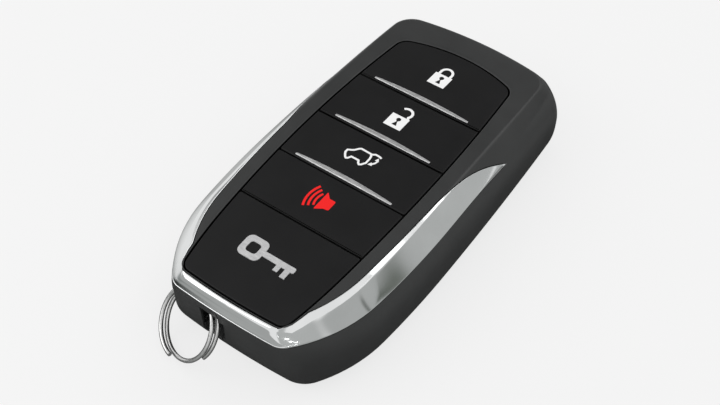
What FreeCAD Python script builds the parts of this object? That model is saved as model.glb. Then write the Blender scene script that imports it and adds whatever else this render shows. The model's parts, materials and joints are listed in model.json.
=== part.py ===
# Smart car key, lying on its back: X is its width, Y its length, Z its thickness.
# The lock end points along +Y, the key ring end along -Y, and the floor is Z = 0.
import FreeCAD, Part
import math
import os
import Sketcher
from FreeCAD import Vector

doc = FreeCAD.newDocument("car_key")
sheet = doc.addObject("Spreadsheet::Sheet", "sizes")

# Driving sizes in millimetres and degrees, each with the name that the model reads.
SIZES = [
    # overall form of the case
    ("key_height", 17.2), ("crown_radius", 654), ("crown_middle", -6),
    ("part_line", 2.6), ("shell_wall", 1.5), ("cover_floor", 1.4), ("roof_depth", 3.0),
    ("widest_level", 7.5), ("slide_gap", 0.2),
    # plan at the widest level
    ("body_half", 20.8), ("body_wide_at", -5), ("body_top", 39.6), ("body_front", -38.8),
    ("body_upper_r", 745), ("body_lower_r", 200), ("body_top_r", 90), ("body_front_r", 150),
    ("body_corner_r", 3.8), ("body_taper_at", -22), ("body_taper_r", 27), ("body_nose_r", 4.5),
    # plan of the flat back
    ("foot_half", 17.4), ("foot_top", 35.9), ("foot_front", -33), ("foot_corner_r", 5),
    ("foot_nose_r", 4.5),
    # plan at the shoulder, where the bright trim ends
    ("shoulder_drop", 3.8), ("shoulder_half", 19.55), ("shoulder_wide_at", -6),
    ("shoulder_top", 39.9), ("shoulder_front", -39.45), ("shoulder_upper_r", 360),
    ("shoulder_lower_r", 160), ("shoulder_taper_at", -23), ("shoulder_corner_r", 4.6),
    ("shoulder_nose_r", 3), ("shoulder_top_r", 70),
    # plan of the rim, where the side meets the level of the crown's top
    ("rim_half", 16.5), ("rim_wide_at", 2), ("rim_top", 36.6), ("rim_front", -36.6),
    ("rim_upper_r", 470), ("rim_lower_r", 400), ("rim_taper_at", -21), ("rim_corner_r", 4.5),
    ("rim_nose_r", 2.4), ("rim_top_r", 78),
    # opening for the buttons
    ("pad_half", 13.35), ("pad_wide_at", 2), ("pad_top", 31.8), ("pad_front", -37.35),
    ("pad_upper_r", 300), ("pad_lower_r", 320), ("pad_top_r", 30), ("pad_front_r", 135),
    ("pad_corner_r", 2.6), ("pad_taper_at", -25), ("pad_taper_r", 100), ("pad_nose_r", 1.7),
    ("pad_gap", 0.3), ("seam_gap", 0.3), ("seam_lock", 16.56), ("seam_unlock", 4.09),
    ("seam_hatch", -7.7), ("seam_panic", -19.16),
    ("flange_reach", 0.8), ("flange_thick", 0.6), ("button_travel", 0.35),
    ("button_sink", 0.05), ("edge_break", 0.2),
    # silver bars
    ("bar_half", 10.2), ("bar_thick", 1.15), ("bar_tip", 0.3), ("bar_proud", 0.12),
    ("bar_depth", 0.6), ("bar_seam_gap", 0.35),
    # bright trim
    ("trim_half", 16.3), ("trim_wide_at", 4), ("trim_front", -36.4), ("trim_lower_r", 290),
    ("trim_taper_at", -22), ("trim_nose_r", 3), ("trim_thick", 0.8), ("trim_proud", 0.12),
    ("trim_tip_at", 16.3), ("trim_tip_drop", 0.9), ("trim_rise_at", 1.5), ("trim_lip", 0.35),
    # inner stack
    ("membrane_thick", 0.6), ("pip_height", 0.35), ("pip_radius", 2.2), ("press_gap", 0.05),
    ("switch_height", 1.6), ("switch_side", 4.2), ("plunger_radius", 1.0),
    ("board_thick", 1.0), ("board_half", 15.2), ("board_top_end", 33.5), ("board_front_end", -26.6),
    ("carrier_clear", 2.4), ("carrier_back", 2.0), ("carrier_far_end", 19.2),
    ("cell_radius", 10.0), ("cell_thick", 3.2), ("cell_x", 5.2), ("cell_y", 4.0),
    ("cell_gap", 0.2), ("clip_thick", 0.3), ("post_radius", 1.6), ("post_x", 11.0), ("post_y", 28.5),
    ("antenna_long", 11.0), ("antenna_wide", 3.4), ("antenna_deep", 3.0),
    # mechanical key
    ("head_side", -2.0), ("head_back", -28.0), ("head_gap", 0.2), ("blade_wide", 6.6),
    ("blade_thick", 2.4), ("blade_long", 42.0), ("blade_x", -12.3), ("blade_z", 3.5),
    ("blade_gap", 0.2), ("blade_tip_long", 3.0), ("blade_tip_half", 1.0), ("groove_wide", 1.5),
    ("groove_deep", 0.8), ("groove_swing", 0.9), ("tang_long", 7.0), ("pin_radius", 1.0),
    ("slot_left", -6.0), ("slot_drop", 3.1), ("post_back", -37.45), ("post_end", -13.1),
    ("lintel_back", -38.8), ("tunnel_back", -33.2), ("tunnel_drop", 1.5), ("tunnel_floor", 3.0),
    ("mouth_drop", 5.8), ("mouth_side", -14.2), ("relief_drop", 4.0), ("relief_wide", 1.0),
    # split ring
    ("ring_x", -7.93), ("ring_y", -40.0), ("ring_drop", 7.65), ("ring_radius", 6.3),
    ("ring_pitch", 1.25), ("ring_wire", 0.8), ("ring_turns", 1.84), ("ring_start", 311),
    ("ring_turn_at", 66.3), ("ring_tip_at", 38.1),
    # release slide
    ("slide_long", 7.0), ("slide_wide", 5.0), ("slide_x", 3.6), ("slide_y", -31.5),
    ("slide_travel", 1.4), ("slide_plate", 1.2), ("slide_rib", 0.5), ("bolt_wide", 2.4),
    ("spring_radius", 0.95), ("spring_wire", 0.25), ("spring_long", 5.0), ("spring_turns", 4),
]
for number, (alias, value) in enumerate(SIZES, start=1):
    sheet.set("A%d" % number, alias)
    sheet.set("B%d" % number, str(value))
    sheet.setAlias("B%d" % number, alias)
doc.recompute()


def mm(expression):
    # Reads a size, or a sum of sizes, from the sheet.
    return float(sheet.evalExpression(expression))


def named(text):
    # Writes the sheet's name before each alias, as an object's expression needs.
    words = sorted((alias for alias, value in SIZES), key=len, reverse=True)
    out = ""
    at = 0
    while at < len(text):
        found = None
        if at == 0 or not (text[at - 1].isalnum() or text[at - 1] == "_"):
            for word in words:
                after = text[at + len(word):at + len(word) + 1]
                if text.startswith(word, at) and not (after.isalnum() or after == "_"):
                    found = word
                    break
        out += "sizes." + found if found else text[at]
        at += len(found) if found else 1
    return out


# Levels that several pieces share, as sums of the driving sizes.
ROOF = "(key_height - roof_depth)"
BUTTON_FOOT = "(%s - flange_thick - 0.05)" % ROOF
PIP_TOP = "(%s - button_travel - press_gap)" % BUTTON_FOOT
MEMBRANE_FOOT = "(%s - pip_height - membrane_thick)" % PIP_TOP
BOARD_TOP = "(%s - switch_height)" % MEMBRANE_FOOT
BOARD_FOOT = "(%s - board_thick)" % BOARD_TOP
SHOULDER_LEVEL = "(key_height - shoulder_drop)"
HEAD_TOP = "(%s - 0.1)" % SHOULDER_LEVEL
CARRIER_HALF = "(body_half - shell_wall - carrier_clear)"
CELL_FOOT = "(%s - 0.8 - cell_thick)" % BOARD_FOOT


def arc(centre, radius, start, end):
    # An arc about a centre, by way of the middle of its shorter side.
    middle = (start + end) * 0.5 - centre
    middle.normalize()
    return Part.Arc(start, centre + middle * radius, end).toShape()


def meeting(one, one_reach, other, other_reach):
    # The point at two given distances from two centres, on the side of greater X.
    line = other - one
    span = line.Length
    along = (one_reach ** 2 - other_reach ** 2 + span ** 2) / (2 * span)
    across = math.sqrt(max(one_reach ** 2 - along ** 2, 0))
    line.normalize()
    foot = one + line * along
    normal = Vector(-line.y, line.x, 0)
    picks = [foot + normal * across, foot - normal * across]
    return max(picks, key=lambda point: point.x)


def towards(centre, radius, target):
    # The point of a circle that lies in line with its centre and a target.
    line = target - centre
    line.normalize()
    return centre + line * radius


KINDS = ("half", "wide", "top", "front", "upper_r", "lower_r", "top_r", "front_r",
         "corner_r", "nose_r", "taper", "taper_r")


def plan(name, **other):
    # One plan of the key as numbers. What it has no size for, it shares with the widest level.
    words = {kind: "%s_%s" % (name, kind) for kind in KINDS}
    words.update(wide=name + "_wide_at", taper=name + "_taper_at", taper_r="body_taper_r",
                 top_r="body_top_r", front_r="body_front_r")
    words.update(other)
    return {kind: mm(words[kind]) for kind in KINDS}


def between(one, other, share):
    # A plan part of the way from one plan to another.
    return {kind: one[kind] + (other[kind] - one[kind]) * share for kind in KINDS}


def outline(form, level, inset=0.0):
    # The key's plan at one level: bowed ends, bowed sides, and a taper to the ring end.
    top_r, front_r = form["top_r"], form["front_r"]
    upper, lower, taper = form["upper_r"], form["lower_r"], form["taper_r"]
    top_c = Vector(0, form["top"] - top_r, 0)
    front_c = Vector(0, form["front"] + front_r, 0)
    upper_c = Vector(form["half"] - upper, form["wide"], 0)
    lower_c = Vector(form["half"] - lower, form["wide"], 0)
    turn = form["taper"] - form["wide"]
    turn_point = lower_c + Vector(math.sqrt(lower ** 2 - turn ** 2), turn, 0)
    taper_c = towards(turn_point, taper, lower_c)
    top_r, front_r, upper, lower = top_r - inset, front_r - inset, upper - inset, lower - inset
    corner, nose, taper = max(form["corner_r"] - inset, 0.4), max(form["nose_r"] - inset, 0.4), taper - inset
    corner_c = meeting(top_c, top_r - corner, upper_c, upper - corner)
    nose_c = meeting(taper_c, taper - nose, front_c, front_r - nose)
    points = [
        towards(top_c, top_r, corner_c), towards(upper_c, upper, corner_c),
        upper_c + Vector(upper, 0, 0), towards(lower_c, lower, turn_point),
        towards(taper_c, taper, nose_c), towards(front_c, front_r, nose_c),
    ]
    centres = [(corner_c, corner), (upper_c, upper), (lower_c, lower), (taper_c, taper), (nose_c, nose)]
    right = [arc(c, r, points[n], points[n + 1]) for n, (c, r) in enumerate(centres)]
    mirrored = [Vector(-p.x, p.y, 0) for p in points]
    left = [arc(Vector(-c.x, c.y, 0), r, mirrored[n + 1], mirrored[n])
            for n, (c, r) in enumerate(centres)]
    top = Part.Arc(mirrored[0], top_c + Vector(0, top_r, 0), points[0]).toShape()
    front = Part.Arc(points[-1], front_c - Vector(0, front_r, 0), mirrored[-1]).toShape()
    wire = Part.Wire([top] + right + [front] + left[::-1])
    wire.translate(Vector(0, 0, level))
    return wire


BODY = plan("body")
FOOT = plan("foot", wide="body_wide_at", upper_r="body_upper_r", lower_r="body_lower_r",
            taper="body_taper_at")
SHOULDER = plan("shoulder", top_r="shoulder_top_r")
RIM = plan("rim", top_r="rim_top_r")
PAD = plan("pad", taper_r="pad_taper_r", top_r="pad_top_r", front_r="pad_front_r")
TRIM = plan("trim", top="body_top", upper_r="rim_upper_r", corner_r="body_corner_r")


def prism(wire, height):
    return Part.Face(wire).extrude(Vector(0, 0, height))


def block(x0, x1, y0, y1, z0, z1):
    return Part.makeBox(x1 - x0, y1 - y0, z1 - z0, Vector(x0, y0, z0))


def crown(lower=0.0):
    # Everything under the face of the key, which is bowed along its length.
    radius = mm("crown_radius")
    low = mm("key_height") - lower - radius
    return Part.makeCylinder(radius, 80, Vector(-40, mm("crown_middle"), low), Vector(1, 0, 0))


def envelope(inset=0.0, lower=0.0):
    # The whole outside of the closed key, or the same form a little smaller or larger.
    # The back's edge follows a rounded curve, and the sides lean in above the widest level.
    wide, top, high = mm("widest_level"), mm(SHOULDER_LEVEL), mm("key_height")
    wires = []
    for step in (0.0, 0.05, 0.16, 0.36, 0.65, 1.0):
        curl = 1 - (1 - (1 - step) ** 3.2) ** (1 / 2.2)
        wires.append(outline(between(BODY, FOOT, curl), step * wide, inset))
    for step in (0.55, 1.0):
        wires.append(outline(between(BODY, SHOULDER, step ** 2), wide + (top - wide) * step, inset))
    # Above the shoulder the sides are flat, and the front end rounds over as a quarter ellipse.
    # The last level lies above the rim, so that the crown cuts all of the top.
    for step in (0.45, 0.75, 0.93, 1.15):
        level = between(SHOULDER, RIM, step)
        over = 1 - math.sqrt(1 - min(step, 1) ** 2)
        level["front"] = SHOULDER["front"] + (RIM["front"] - SHOULDER["front"]) * over
        wires.append(outline(level, top + (high - top) * step, inset))
    return Part.makeLoft(wires, True, True).common(crown(lower))


def piece(label, shape):
    # A piece whose solid the functions above have made, at its place in the key.
    item = doc.addObject("Part::Feature", label)
    item.Shape = shape
    item.Placement = FreeCAD.Placement()
    return item


nodes = []

# Space left for the head of the mechanical key, at the ring end's left corner.
whole = envelope()
head_right, head_far = mm("head_side"), mm("head_back")
head_top = mm(HEAD_TOP)
gap = mm("head_gap")
head_space = block(-40, head_right, -60, head_far, -5, head_top)
head_hollow = block(-40, head_right + gap, -60, head_far + gap, -5, mm(SHOULDER_LEVEL))

# Region of the bright trim: outside its inner edge, above the shoulder, short of the blade tips.
shoulder = mm(SHOULDER_LEVEL)
trim_low = shoulder - 0.05
tip_y, tip_z = mm("trim_tip_at"), shoulder - mm("trim_tip_drop")
rise_y = mm("trim_rise_at")
rise_z = mm("key_height") - 0.15
high = mm("key_height") + 2
side_view = Part.Wire([
    Part.makeLine(Vector(-40, -60, high), Vector(-40, -60, trim_low)),
    Part.makeLine(Vector(-40, -60, trim_low), Vector(-40, 0, trim_low)),
    Part.Arc(Vector(-40, 0, trim_low), Vector(-40, 0.55 * tip_y, trim_low - 0.3 * (trim_low - tip_z)),
             Vector(-40, tip_y, tip_z)).toShape(),
    Part.Arc(Vector(-40, tip_y, tip_z), Vector(-40, 0.4 * rise_y + 0.6 * tip_y, 0.68 * rise_z + 0.32 * tip_z),
             Vector(-40, rise_y, rise_z)).toShape(),
    Part.makeLine(Vector(-40, rise_y, rise_z), Vector(-40, -9, high)),
    Part.makeLine(Vector(-40, -9, high), Vector(-40, -60, high)),
])
trim_region = Part.Face(side_view).extrude(Vector(80, 0, 0))
trim_region = trim_region.cut(prism(outline(TRIM, -1), 30))
trim_region = trim_region.cut(prism(outline(PAD, -1, -mm("pad_gap + trim_lip")), 30))
trim_core = envelope(mm("trim_thick"), mm("trim_thick"))
trim = envelope(-mm("trim_proud"), -mm("trim_proud") * 0.5).common(trim_region).cut(trim_core)
nodes.append(piece("chrome_trim", trim))

# Case: roof, sides and the opening for the buttons, made as one moulding.
wall = mm("shell_wall")
roof = mm(ROOF)
inside = Part.makeLoft([
    outline(BODY, mm("cover_floor"), wall + 0.6), outline(BODY, mm("widest_level"), wall),
    outline(SHOULDER, roof, wall + 0.5)], True, True)
upper = whole.cut(block(-40, 40, -60, 60, -5, mm("part_line"))).cut(inside)
upper = upper.cut(prism(outline(PAD, roof - 1, -mm("pad_gap")), 10))
upper = upper.cut(trim_region.cut(trim_core)).cut(head_hollow)
# Beside the ring's slot the case is hollowed a little, so that the ring can swing.
relief_x, relief_z = head_right + gap + mm("relief_wide"), mm(SHOULDER_LEVEL + " - relief_drop")
relief = Part.Wire(Part.makePolygon([
    Vector(head_right - 1, -60, relief_z), Vector(head_right + gap + 0.2, -60, relief_z),
    Vector(relief_x - 0.4, -60, relief_z - 1), Vector(relief_x, -60, 4), Vector(relief_x, -60, -5),
    Vector(head_right - 1, -60, -5), Vector(head_right - 1, -60, relief_z)]))
relief = Part.Face(relief).extrude(Vector(0, 60 + mm("lintel_back") + 0.8, 0))
upper = upper.cut(relief)
nodes.append(piece("case_frame", upper))

# Back cover: the flat back, with a lip that locates it inside the case.
lower_half = whole.common(block(-40, 40, -60, 60, -5, mm("part_line")))
lip_out = mm("shell_wall + 0.7")
lip = prism(outline(BODY, mm("cover_floor"), lip_out), mm("part_line - cover_floor + 1.2"))
lip = lip.cut(prism(outline(BODY, mm("cover_floor") - 1, lip_out + 0.9), 20))
cover = lower_half.cut(prism(outline(BODY, mm("cover_floor"), lip_out), 20)).fuse(lip)
cover = cover.cut(head_hollow).cut(relief)
slide_x, slide_y = mm("slide_x"), mm("slide_y")
half_long, half_wide = mm("slide_long") / 2, mm("slide_wide") / 2
window = block(slide_x - half_long + 1.0, slide_x + half_long - 1.0 + mm("slide_travel + 2 * slide_gap"),
               slide_y - half_wide + 1.0 - mm("slide_gap"), slide_y + half_wide - 1.0 + mm("slide_gap"), -1, 5)
cover = cover.cut(window)
for side in (-1, 1):
    support = Part.makeCylinder(mm("post_radius"), mm(BOARD_FOOT) - mm("cover_floor") + 0.2,
                                Vector(side * mm("post_x"), mm("post_y"), mm("cover_floor") - 0.2))
    cover = cover.fuse(support)
for turn in range(4):
    angle = math.radians(45 + 90 * turn)
    reach = mm("cell_radius") * 0.7
    foot = Vector(mm("cell_x") + reach * math.cos(angle), mm("cell_y") + reach * math.sin(angle),
                  mm("cover_floor") - 0.2)
    cover = cover.fuse(Part.makeCylinder(1.0, mm(CELL_FOOT) - mm("cover_floor") + 0.1, foot))
nodes.append(piece("back_cover", cover.removeSplitter()))

# Buttons and the badge plate: one bowed pad, parted along its seams.
pad = prism(outline(PAD, mm(BUTTON_FOOT)), 10).common(crown(mm("button_sink")))
foot_level = mm(BUTTON_FOOT)
flange = prism(outline(PAD, foot_level, -mm("flange_reach")), mm("flange_thick"))
flange = flange.common(block(-40, 40, mm("pad_front + 2 * shell_wall"), 60, -5, 40))
seams = [mm("pad_top") + 5, mm("seam_lock"), mm("seam_unlock"), mm("seam_hatch"),
         mm("seam_panic"), mm("pad_front") - 5]
half_seam = mm("seam_gap") / 2
bar_rows = {"lock": "seam_lock", "unlock": "seam_unlock", "hatch": "seam_hatch"}


def bar_blank(row, grow=0.0):
    # A lens shape beside a seam: straight towards the seam, bowed on the other side.
    low = mm(bar_rows[row]) + half_seam + mm("bar_seam_gap") - grow
    half, tip, thick = mm("bar_half") + grow, mm("bar_tip") + 2 * grow, mm("bar_thick") + 2 * grow
    wire = Part.Wire([
        Part.makeLine(Vector(-half, low, 0), Vector(half, low, 0)),
        Part.Arc(Vector(half, low, 0), Vector(half + tip / 2, low + tip / 2, 0),
                 Vector(half, low + tip, 0)).toShape(),
        Part.Arc(Vector(half, low + tip, 0), Vector(0, low + thick, 0),
                 Vector(-half, low + tip, 0)).toShape(),
        Part.Arc(Vector(-half, low + tip, 0), Vector(-half - tip / 2, low + tip / 2, 0),
                 Vector(-half, low, 0)).toShape(),
    ])
    return prism(wire, 30)


def broken_edges(shape, depth):
    # Breaks the sharp edges round the top of a plate.
    rim = [edge for edge in shape.Edges
           if edge.BoundBox.ZMin > mm(ROOF) + 0.3 and edge.BoundBox.ZLength < 1.5]
    try:
        return shape.makeChamfer(depth, rim)
    except Part.OCCError:
        print("edge break left out")
        return shape


for number, name in enumerate(("lock", "unlock", "hatch", "panic", "badge")):
    band = block(-40, 40, seams[number + 1] + half_seam, seams[number] - half_seam, -5, 40)
    plate = broken_edges(pad.common(band), mm("edge_break")).fuse(flange.common(band))
    if name in bar_rows:
        pocket = bar_blank(name, 0.02).cut(crown(mm("bar_depth")))
        plate = plate.cut(pocket)
        bar = bar_blank(name).common(crown(-mm("bar_proud"))).cut(crown(mm("bar_depth")))
        nodes.append(piece("bar_" + name, bar))
    label = "badge_plate" if name == "badge" else "button_" + name
    nodes.append(piece(label, plate.removeSplitter()))

button_y = {name: (seams[n] + seams[n + 1]) / 2 for n, name in enumerate(("lock", "unlock", "hatch", "panic"))}
button_y["lock"] = (mm("pad_top") + seams[1]) / 2

# Keypad membrane with a raised pip under each button.
membrane = prism(outline(PAD, mm(MEMBRANE_FOOT), 0.5), mm("membrane_thick"))
membrane = membrane.cut(block(-40, 40, -60, mm("seam_panic") - 2, -5, 40))
for y in button_y.values():
    pip = Part.makeCone(mm("pip_radius"), mm("pip_radius") * 0.8, mm("pip_height"),
                        Vector(0, y, mm(MEMBRANE_FOOT + " + membrane_thick")))
    membrane = membrane.fuse(pip)
nodes.append(piece("keypad_membrane", membrane.removeSplitter()))


# Helpers for pieces built from sketches and primitives whose sizes read the sheet.
def origin_plane(body, role):
    return [item for item in body.Origin.OriginFeatures if item.Role == role][0]


def corner_sketch(body, name, corners, lift="0"):
    # A closed sketch on the body's XY plane, each corner held by its distances from the origin.
    sketch = body.newObject("Sketcher::SketchObject", name)
    sketch.AttachmentSupport = [(origin_plane(body, "XY_Plane"), "")]
    sketch.MapMode = "FlatFace"
    sketch.setExpression("AttachmentOffset.Base.z", named(lift))
    places = [(mm(x), mm(y)) for x, y in corners]
    count = len(corners)
    for n in range(count):
        start, end = places[n], places[(n + 1) % count]
        sketch.addGeometry(Part.LineSegment(Vector(start[0], start[1], 0), Vector(end[0], end[1], 0)))
    for n in range(count):
        sketch.addConstraint(Sketcher.Constraint("Coincident", n, 2, (n + 1) % count, 1))
    for n, (x, y) in enumerate(corners):
        for kind, value, words in (("DistanceX", places[n][0], x), ("DistanceY", places[n][1], y)):
            index = sketch.addConstraint(Sketcher.Constraint(kind, -1, 1, n, 1, value))
            sketch.setExpression("Constraints[%d]" % index, named(words))
    return sketch


def round_sketch(body, name, x, y, radius, lift="0"):
    sketch = body.newObject("Sketcher::SketchObject", name)
    sketch.AttachmentSupport = [(origin_plane(body, "XY_Plane"), "")]
    sketch.MapMode = "FlatFace"
    sketch.setExpression("AttachmentOffset.Base.z", named(lift))
    sketch.addGeometry(Part.Circle(Vector(mm(x), mm(y), 0), Vector(0, 0, 1), mm(radius)))
    for kind, words in (("DistanceX", x), ("DistanceY", y)):
        index = sketch.addConstraint(Sketcher.Constraint(kind, -1, 1, 0, 3, mm(words)))
        sketch.setExpression("Constraints[%d]" % index, named(words))
    index = sketch.addConstraint(Sketcher.Constraint("Radius", 0, mm(radius)))
    sketch.setExpression("Constraints[%d]" % index, named(radius))
    return sketch


def add_pad(body, name, sketch, height):
    feature = body.newObject("PartDesign::Pad", name)
    feature.Profile = sketch
    feature.setExpression("Length", named(height))
    sketch.Visibility = False
    return feature


def add_pocket(body, name, sketch, depth, upwards=False):
    feature = body.newObject("PartDesign::Pocket", name)
    feature.Profile = sketch
    feature.setExpression("Length", named(depth))
    feature.Reversed = upwards
    sketch.Visibility = False
    return feature


def new_body(label, lift):
    body = doc.addObject("PartDesign::Body", label)
    body.setExpression("Placement.Base.z", named(lift))
    nodes.append(body)
    return body


def rectangle(x0, x1, y0, y1):
    return [(x0, y0), (x1, y0), (x1, y1), (x0, y1)]


def bound(kind, label, values, x="0", y="0", z="0"):
    # A primitive with its sizes and its place bound to the sheet.
    item = doc.addObject(kind, label)
    for prop, words in values.items():
        item.setExpression(prop, named(words))
    for axis, words in (("x", x), ("y", y), ("z", z)):
        item.setExpression("Placement.Base." + axis, named(words))
    return item


def joined(label, parts):
    item = doc.addObject("Part::MultiFuse", label)
    item.Shapes = parts
    return item


# Circuit board, notched where the mechanical key's head lies.
board = new_body("circuit_board", BOARD_FOOT)
board_sketch = corner_sketch(board, "board_outline", [
    ("-board_half + 5", "board_front_end"), ("board_half - 5", "board_front_end"),
    ("board_half", "board_front_end + 6"), ("board_half", "board_top_end - 4"),
    ("board_half - 4", "board_top_end"), ("-board_half + 4", "board_top_end"),
    ("-board_half", "board_top_end - 4"), ("-board_half", "board_front_end + 6")])
add_pad(board, "board_plate", board_sketch, "board_thick")
for side in (-1, 1):
    hole = round_sketch(board, "board_hole_%d" % (side + 2), "%d * post_x" % side,
                        "post_y", "0.45 * post_radius")
    add_pocket(board, "board_hole_cut_%d" % (side + 2), hole, "board_thick", True)

# One switch under each button: a square can with a round plunger.
for name, y in button_y.items():
    can = bound("Part::Box", "switch_can_" + name,
                {"Length": "switch_side", "Width": "switch_side", "Height": "0.7 * switch_height"},
                "-switch_side / 2", "%.4f - switch_side / 2" % y, BOARD_TOP)
    plunger = bound("Part::Cylinder", "switch_plunger_" + name,
                    {"Radius": "plunger_radius", "Height": "0.8 * switch_height"},
                    "0", "%.4f" % y, BOARD_TOP + " + 0.2 * switch_height")
    nodes.append(joined("switch_" + name, [can, plunger]))

# Chips on the board.
nodes.append(bound("Part::Box", "control_chip", {"Length": "6.0", "Width": "6.0", "Height": "0.9"},
                   "-11.5", "-6", BOARD_TOP))
nodes.append(bound("Part::Box", "radio_chip", {"Length": "5.0", "Width": "5.0", "Height": "0.9"},
                   "5.5", "12", BOARD_TOP))
nodes.append(bound("Part::Box", "crystal_can", {"Length": "3.2", "Width": "2.5", "Height": "0.8"},
                   "6.5", "2", BOARD_TOP))

# Carrier under the board: a tray with a round well for the cell and a channel for the blade.
CARRIER_HIGH = "(%s - carrier_back)" % BOARD_FOOT
carrier = new_body("inner_carrier", "carrier_back")
carrier_sketch = corner_sketch(carrier, "carrier_outline", [
    ("head_side + 1.2", "board_front_end - 1"), (CARRIER_HALF + " - 6.5", "board_front_end - 1"),
    (CARRIER_HALF + " - 1", "board_front_end + 9"), (CARRIER_HALF, "carrier_far_end - 8"),
    (CARRIER_HALF, "carrier_far_end"), ("-" + CARRIER_HALF, "carrier_far_end"),
    ("-" + CARRIER_HALF, "carrier_far_end - 8"), ("1.3 - " + CARRIER_HALF, "head_back + 1"),
    ("head_side + 1.2", "head_back + 1")])
add_pad(carrier, "carrier_block", carrier_sketch, CARRIER_HIGH)
well = round_sketch(carrier, "cell_well", "cell_x", "cell_y", "cell_radius + cell_gap + clip_thick")
add_pocket(carrier, "cell_well_cut", well, CARRIER_HIGH, True)
channel = corner_sketch(carrier, "blade_channel", rectangle(
    "blade_x - blade_wide / 2 - blade_gap", "blade_x + blade_wide / 2 + blade_gap",
    "head_back - 5", "head_back + blade_long + 0.6"), "blade_z - blade_gap - carrier_back")
add_pocket(carrier, "blade_channel_cut", channel, "blade_thick + 2 * blade_gap", True)
for side in (-1, 1):
    relief = corner_sketch(carrier, "rib_gap_%d" % (side + 2), rectangle(
        "cell_x - 5", "cell_x + 5", "cell_y + %d * 15.5 - 2.5" % side, "cell_y + %d * 15.5 + 2.5" % side))
    add_pocket(carrier, "rib_gap_cut_%d" % (side + 2), relief, CARRIER_HIGH + " - 1.2", True)

# Coin cell, and the two contacts that carry its current to the board.
cell = new_body("coin_cell", CELL_FOOT)
add_pad(cell, "cell_can", round_sketch(cell, "cell_round", "cell_x", "cell_y", "cell_radius"),
        "cell_thick * 0.85")
add_pad(cell, "cell_lid", round_sketch(cell, "lid_round", "cell_x", "cell_y", "cell_radius * 0.88",
                                       "cell_thick * 0.85"), "cell_thick * 0.15")
clip_out = bound("Part::Cylinder", "clip_out",
                 {"Radius": "cell_radius + cell_gap / 2 + clip_thick", "Height": "cell_thick * 0.6"},
                 "cell_x", "cell_y", CELL_FOOT + " + cell_thick * 0.2")
clip_in = bound("Part::Cylinder", "clip_in",
                {"Radius": "cell_radius + cell_gap / 2", "Height": "cell_thick * 2"},
                "cell_x", "cell_y", CELL_FOOT + " - cell_thick * 0.5")
clip_cut = bound("Part::Box", "clip_cut", {"Length": "40", "Width": "40", "Height": "20"},
                 "cell_x - 20", "cell_y - 4", CELL_FOOT + " - 5")
clip_ring = doc.addObject("Part::Cut", "clip_ring")
clip_ring.Base, clip_ring.Tool = clip_out, clip_in
clip_band = doc.addObject("Part::Cut", "clip_band")
clip_band.Base, clip_band.Tool = clip_ring, clip_cut
clip_leg = bound("Part::Box", "clip_leg", {"Length": "2.4", "Width": "clip_thick",
                 "Height": BOARD_FOOT + " - " + CELL_FOOT + " - cell_thick * 0.3"},
                 "cell_x - 1.2", "cell_y - cell_radius - cell_gap / 2 - clip_thick",
                 CELL_FOOT + " + cell_thick * 0.3")
nodes.append(joined("positive_clip", [clip_band, clip_leg]))
leaf = bound("Part::Box", "leaf_arm", {"Length": "3.0", "Width": "9.0", "Height": "0.2"},
             "cell_x - 1.5", "cell_y - 2", CELL_FOOT + " + cell_thick")
leaf_leg = bound("Part::Box", "leaf_leg", {"Length": "3.0", "Width": "0.3", "Height": "0.8"},
                 "cell_x - 1.5", "cell_y + 6.7", CELL_FOOT + " + cell_thick")
nodes.append(joined("negative_contact", [leaf, leaf_leg]))

# Three low-frequency coils under the far end of the board: a ferrite bar in its winding.
for name, x, y, long, wide in (
        ("antenna_x", "-antenna_long / 2", "board_top_end - 4.6", "antenna_long", "antenna_wide"),
        ("antenna_y", "post_x - 6.2", "carrier_far_end + 0.6", "antenna_wide", "0.75 * antenna_long"),
        ("antenna_z", "-post_x + 1.6", "carrier_far_end + 0.8", "6.4", "6.4")):
    core = bound("Part::Box", name + "_core", {"Length": long, "Width": wide, "Height": "0.7 * antenna_deep"},
                 x, y, BOARD_FOOT + " - antenna_deep * 0.85")
    coil = bound("Part::Box", name + "_coil", {"Length": long + " - 1.6", "Width": wide + " - 0.2",
                                               "Height": "antenna_deep"},
                 x + " + 0.8", y + " + 0.1", BOARD_FOOT + " - antenna_deep")
    nodes.append(joined(name, [core, coil]))

# Mechanical key: a blade with a milled, winding groove, a pin, and a moulded head.
blade = new_body("key_blade", "blade_z")
LEFT, RIGHT = "(blade_x - blade_wide / 2)", "(blade_x + blade_wide / 2)"
FAR = "(head_back + blade_long)"
blade_sketch = corner_sketch(blade, "blade_outline", [
    (LEFT, "head_back - tang_long"), (RIGHT, "head_back - tang_long"), (RIGHT, FAR + " - blade_tip_long"),
    ("blade_x + blade_tip_half", FAR), ("blade_x - blade_tip_half", FAR),
    (LEFT, FAR + " - blade_tip_long")])
add_pad(blade, "blade_bar", blade_sketch, "blade_thick")
steps = [0.10, 0.22, 0.34, 0.48, 0.60, 0.74, 0.86]
shifts = [0, 1, -0.4, 0.7, -1, 0.3, 0]
track = [("blade_x + groove_swing * %.1f - groove_wide / 2" % shift, "head_back + blade_long * %.2f" % step)
         for step, shift in zip(steps, shifts)]
track += [("blade_x + groove_wide / 2", FAR + " + 1"), ("blade_x - groove_wide / 2", FAR + " + 1")][::-1]
track += [("blade_x + groove_swing * %.1f + groove_wide / 2" % shift, "head_back + blade_long * %.2f" % step)
          for step, shift in reversed(list(zip(steps, shifts)))]
groove = corner_sketch(blade, "groove_track", track, "blade_thick")
add_pocket(blade, "groove_cut", groove, "groove_deep")
pin_hole = round_sketch(blade, "pin_hole", "blade_x", "head_back - tang_long / 2", "pin_radius")
add_pocket(blade, "pin_hole_cut", pin_hole, "blade_thick", True)
nodes.append(bound("Part::Cylinder", "key_pin", {"Radius": "pin_radius", "Height": "blade_thick + 3"},
                   "blade_x", "head_back - tang_long / 2", "blade_z - 1.5"))

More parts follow.
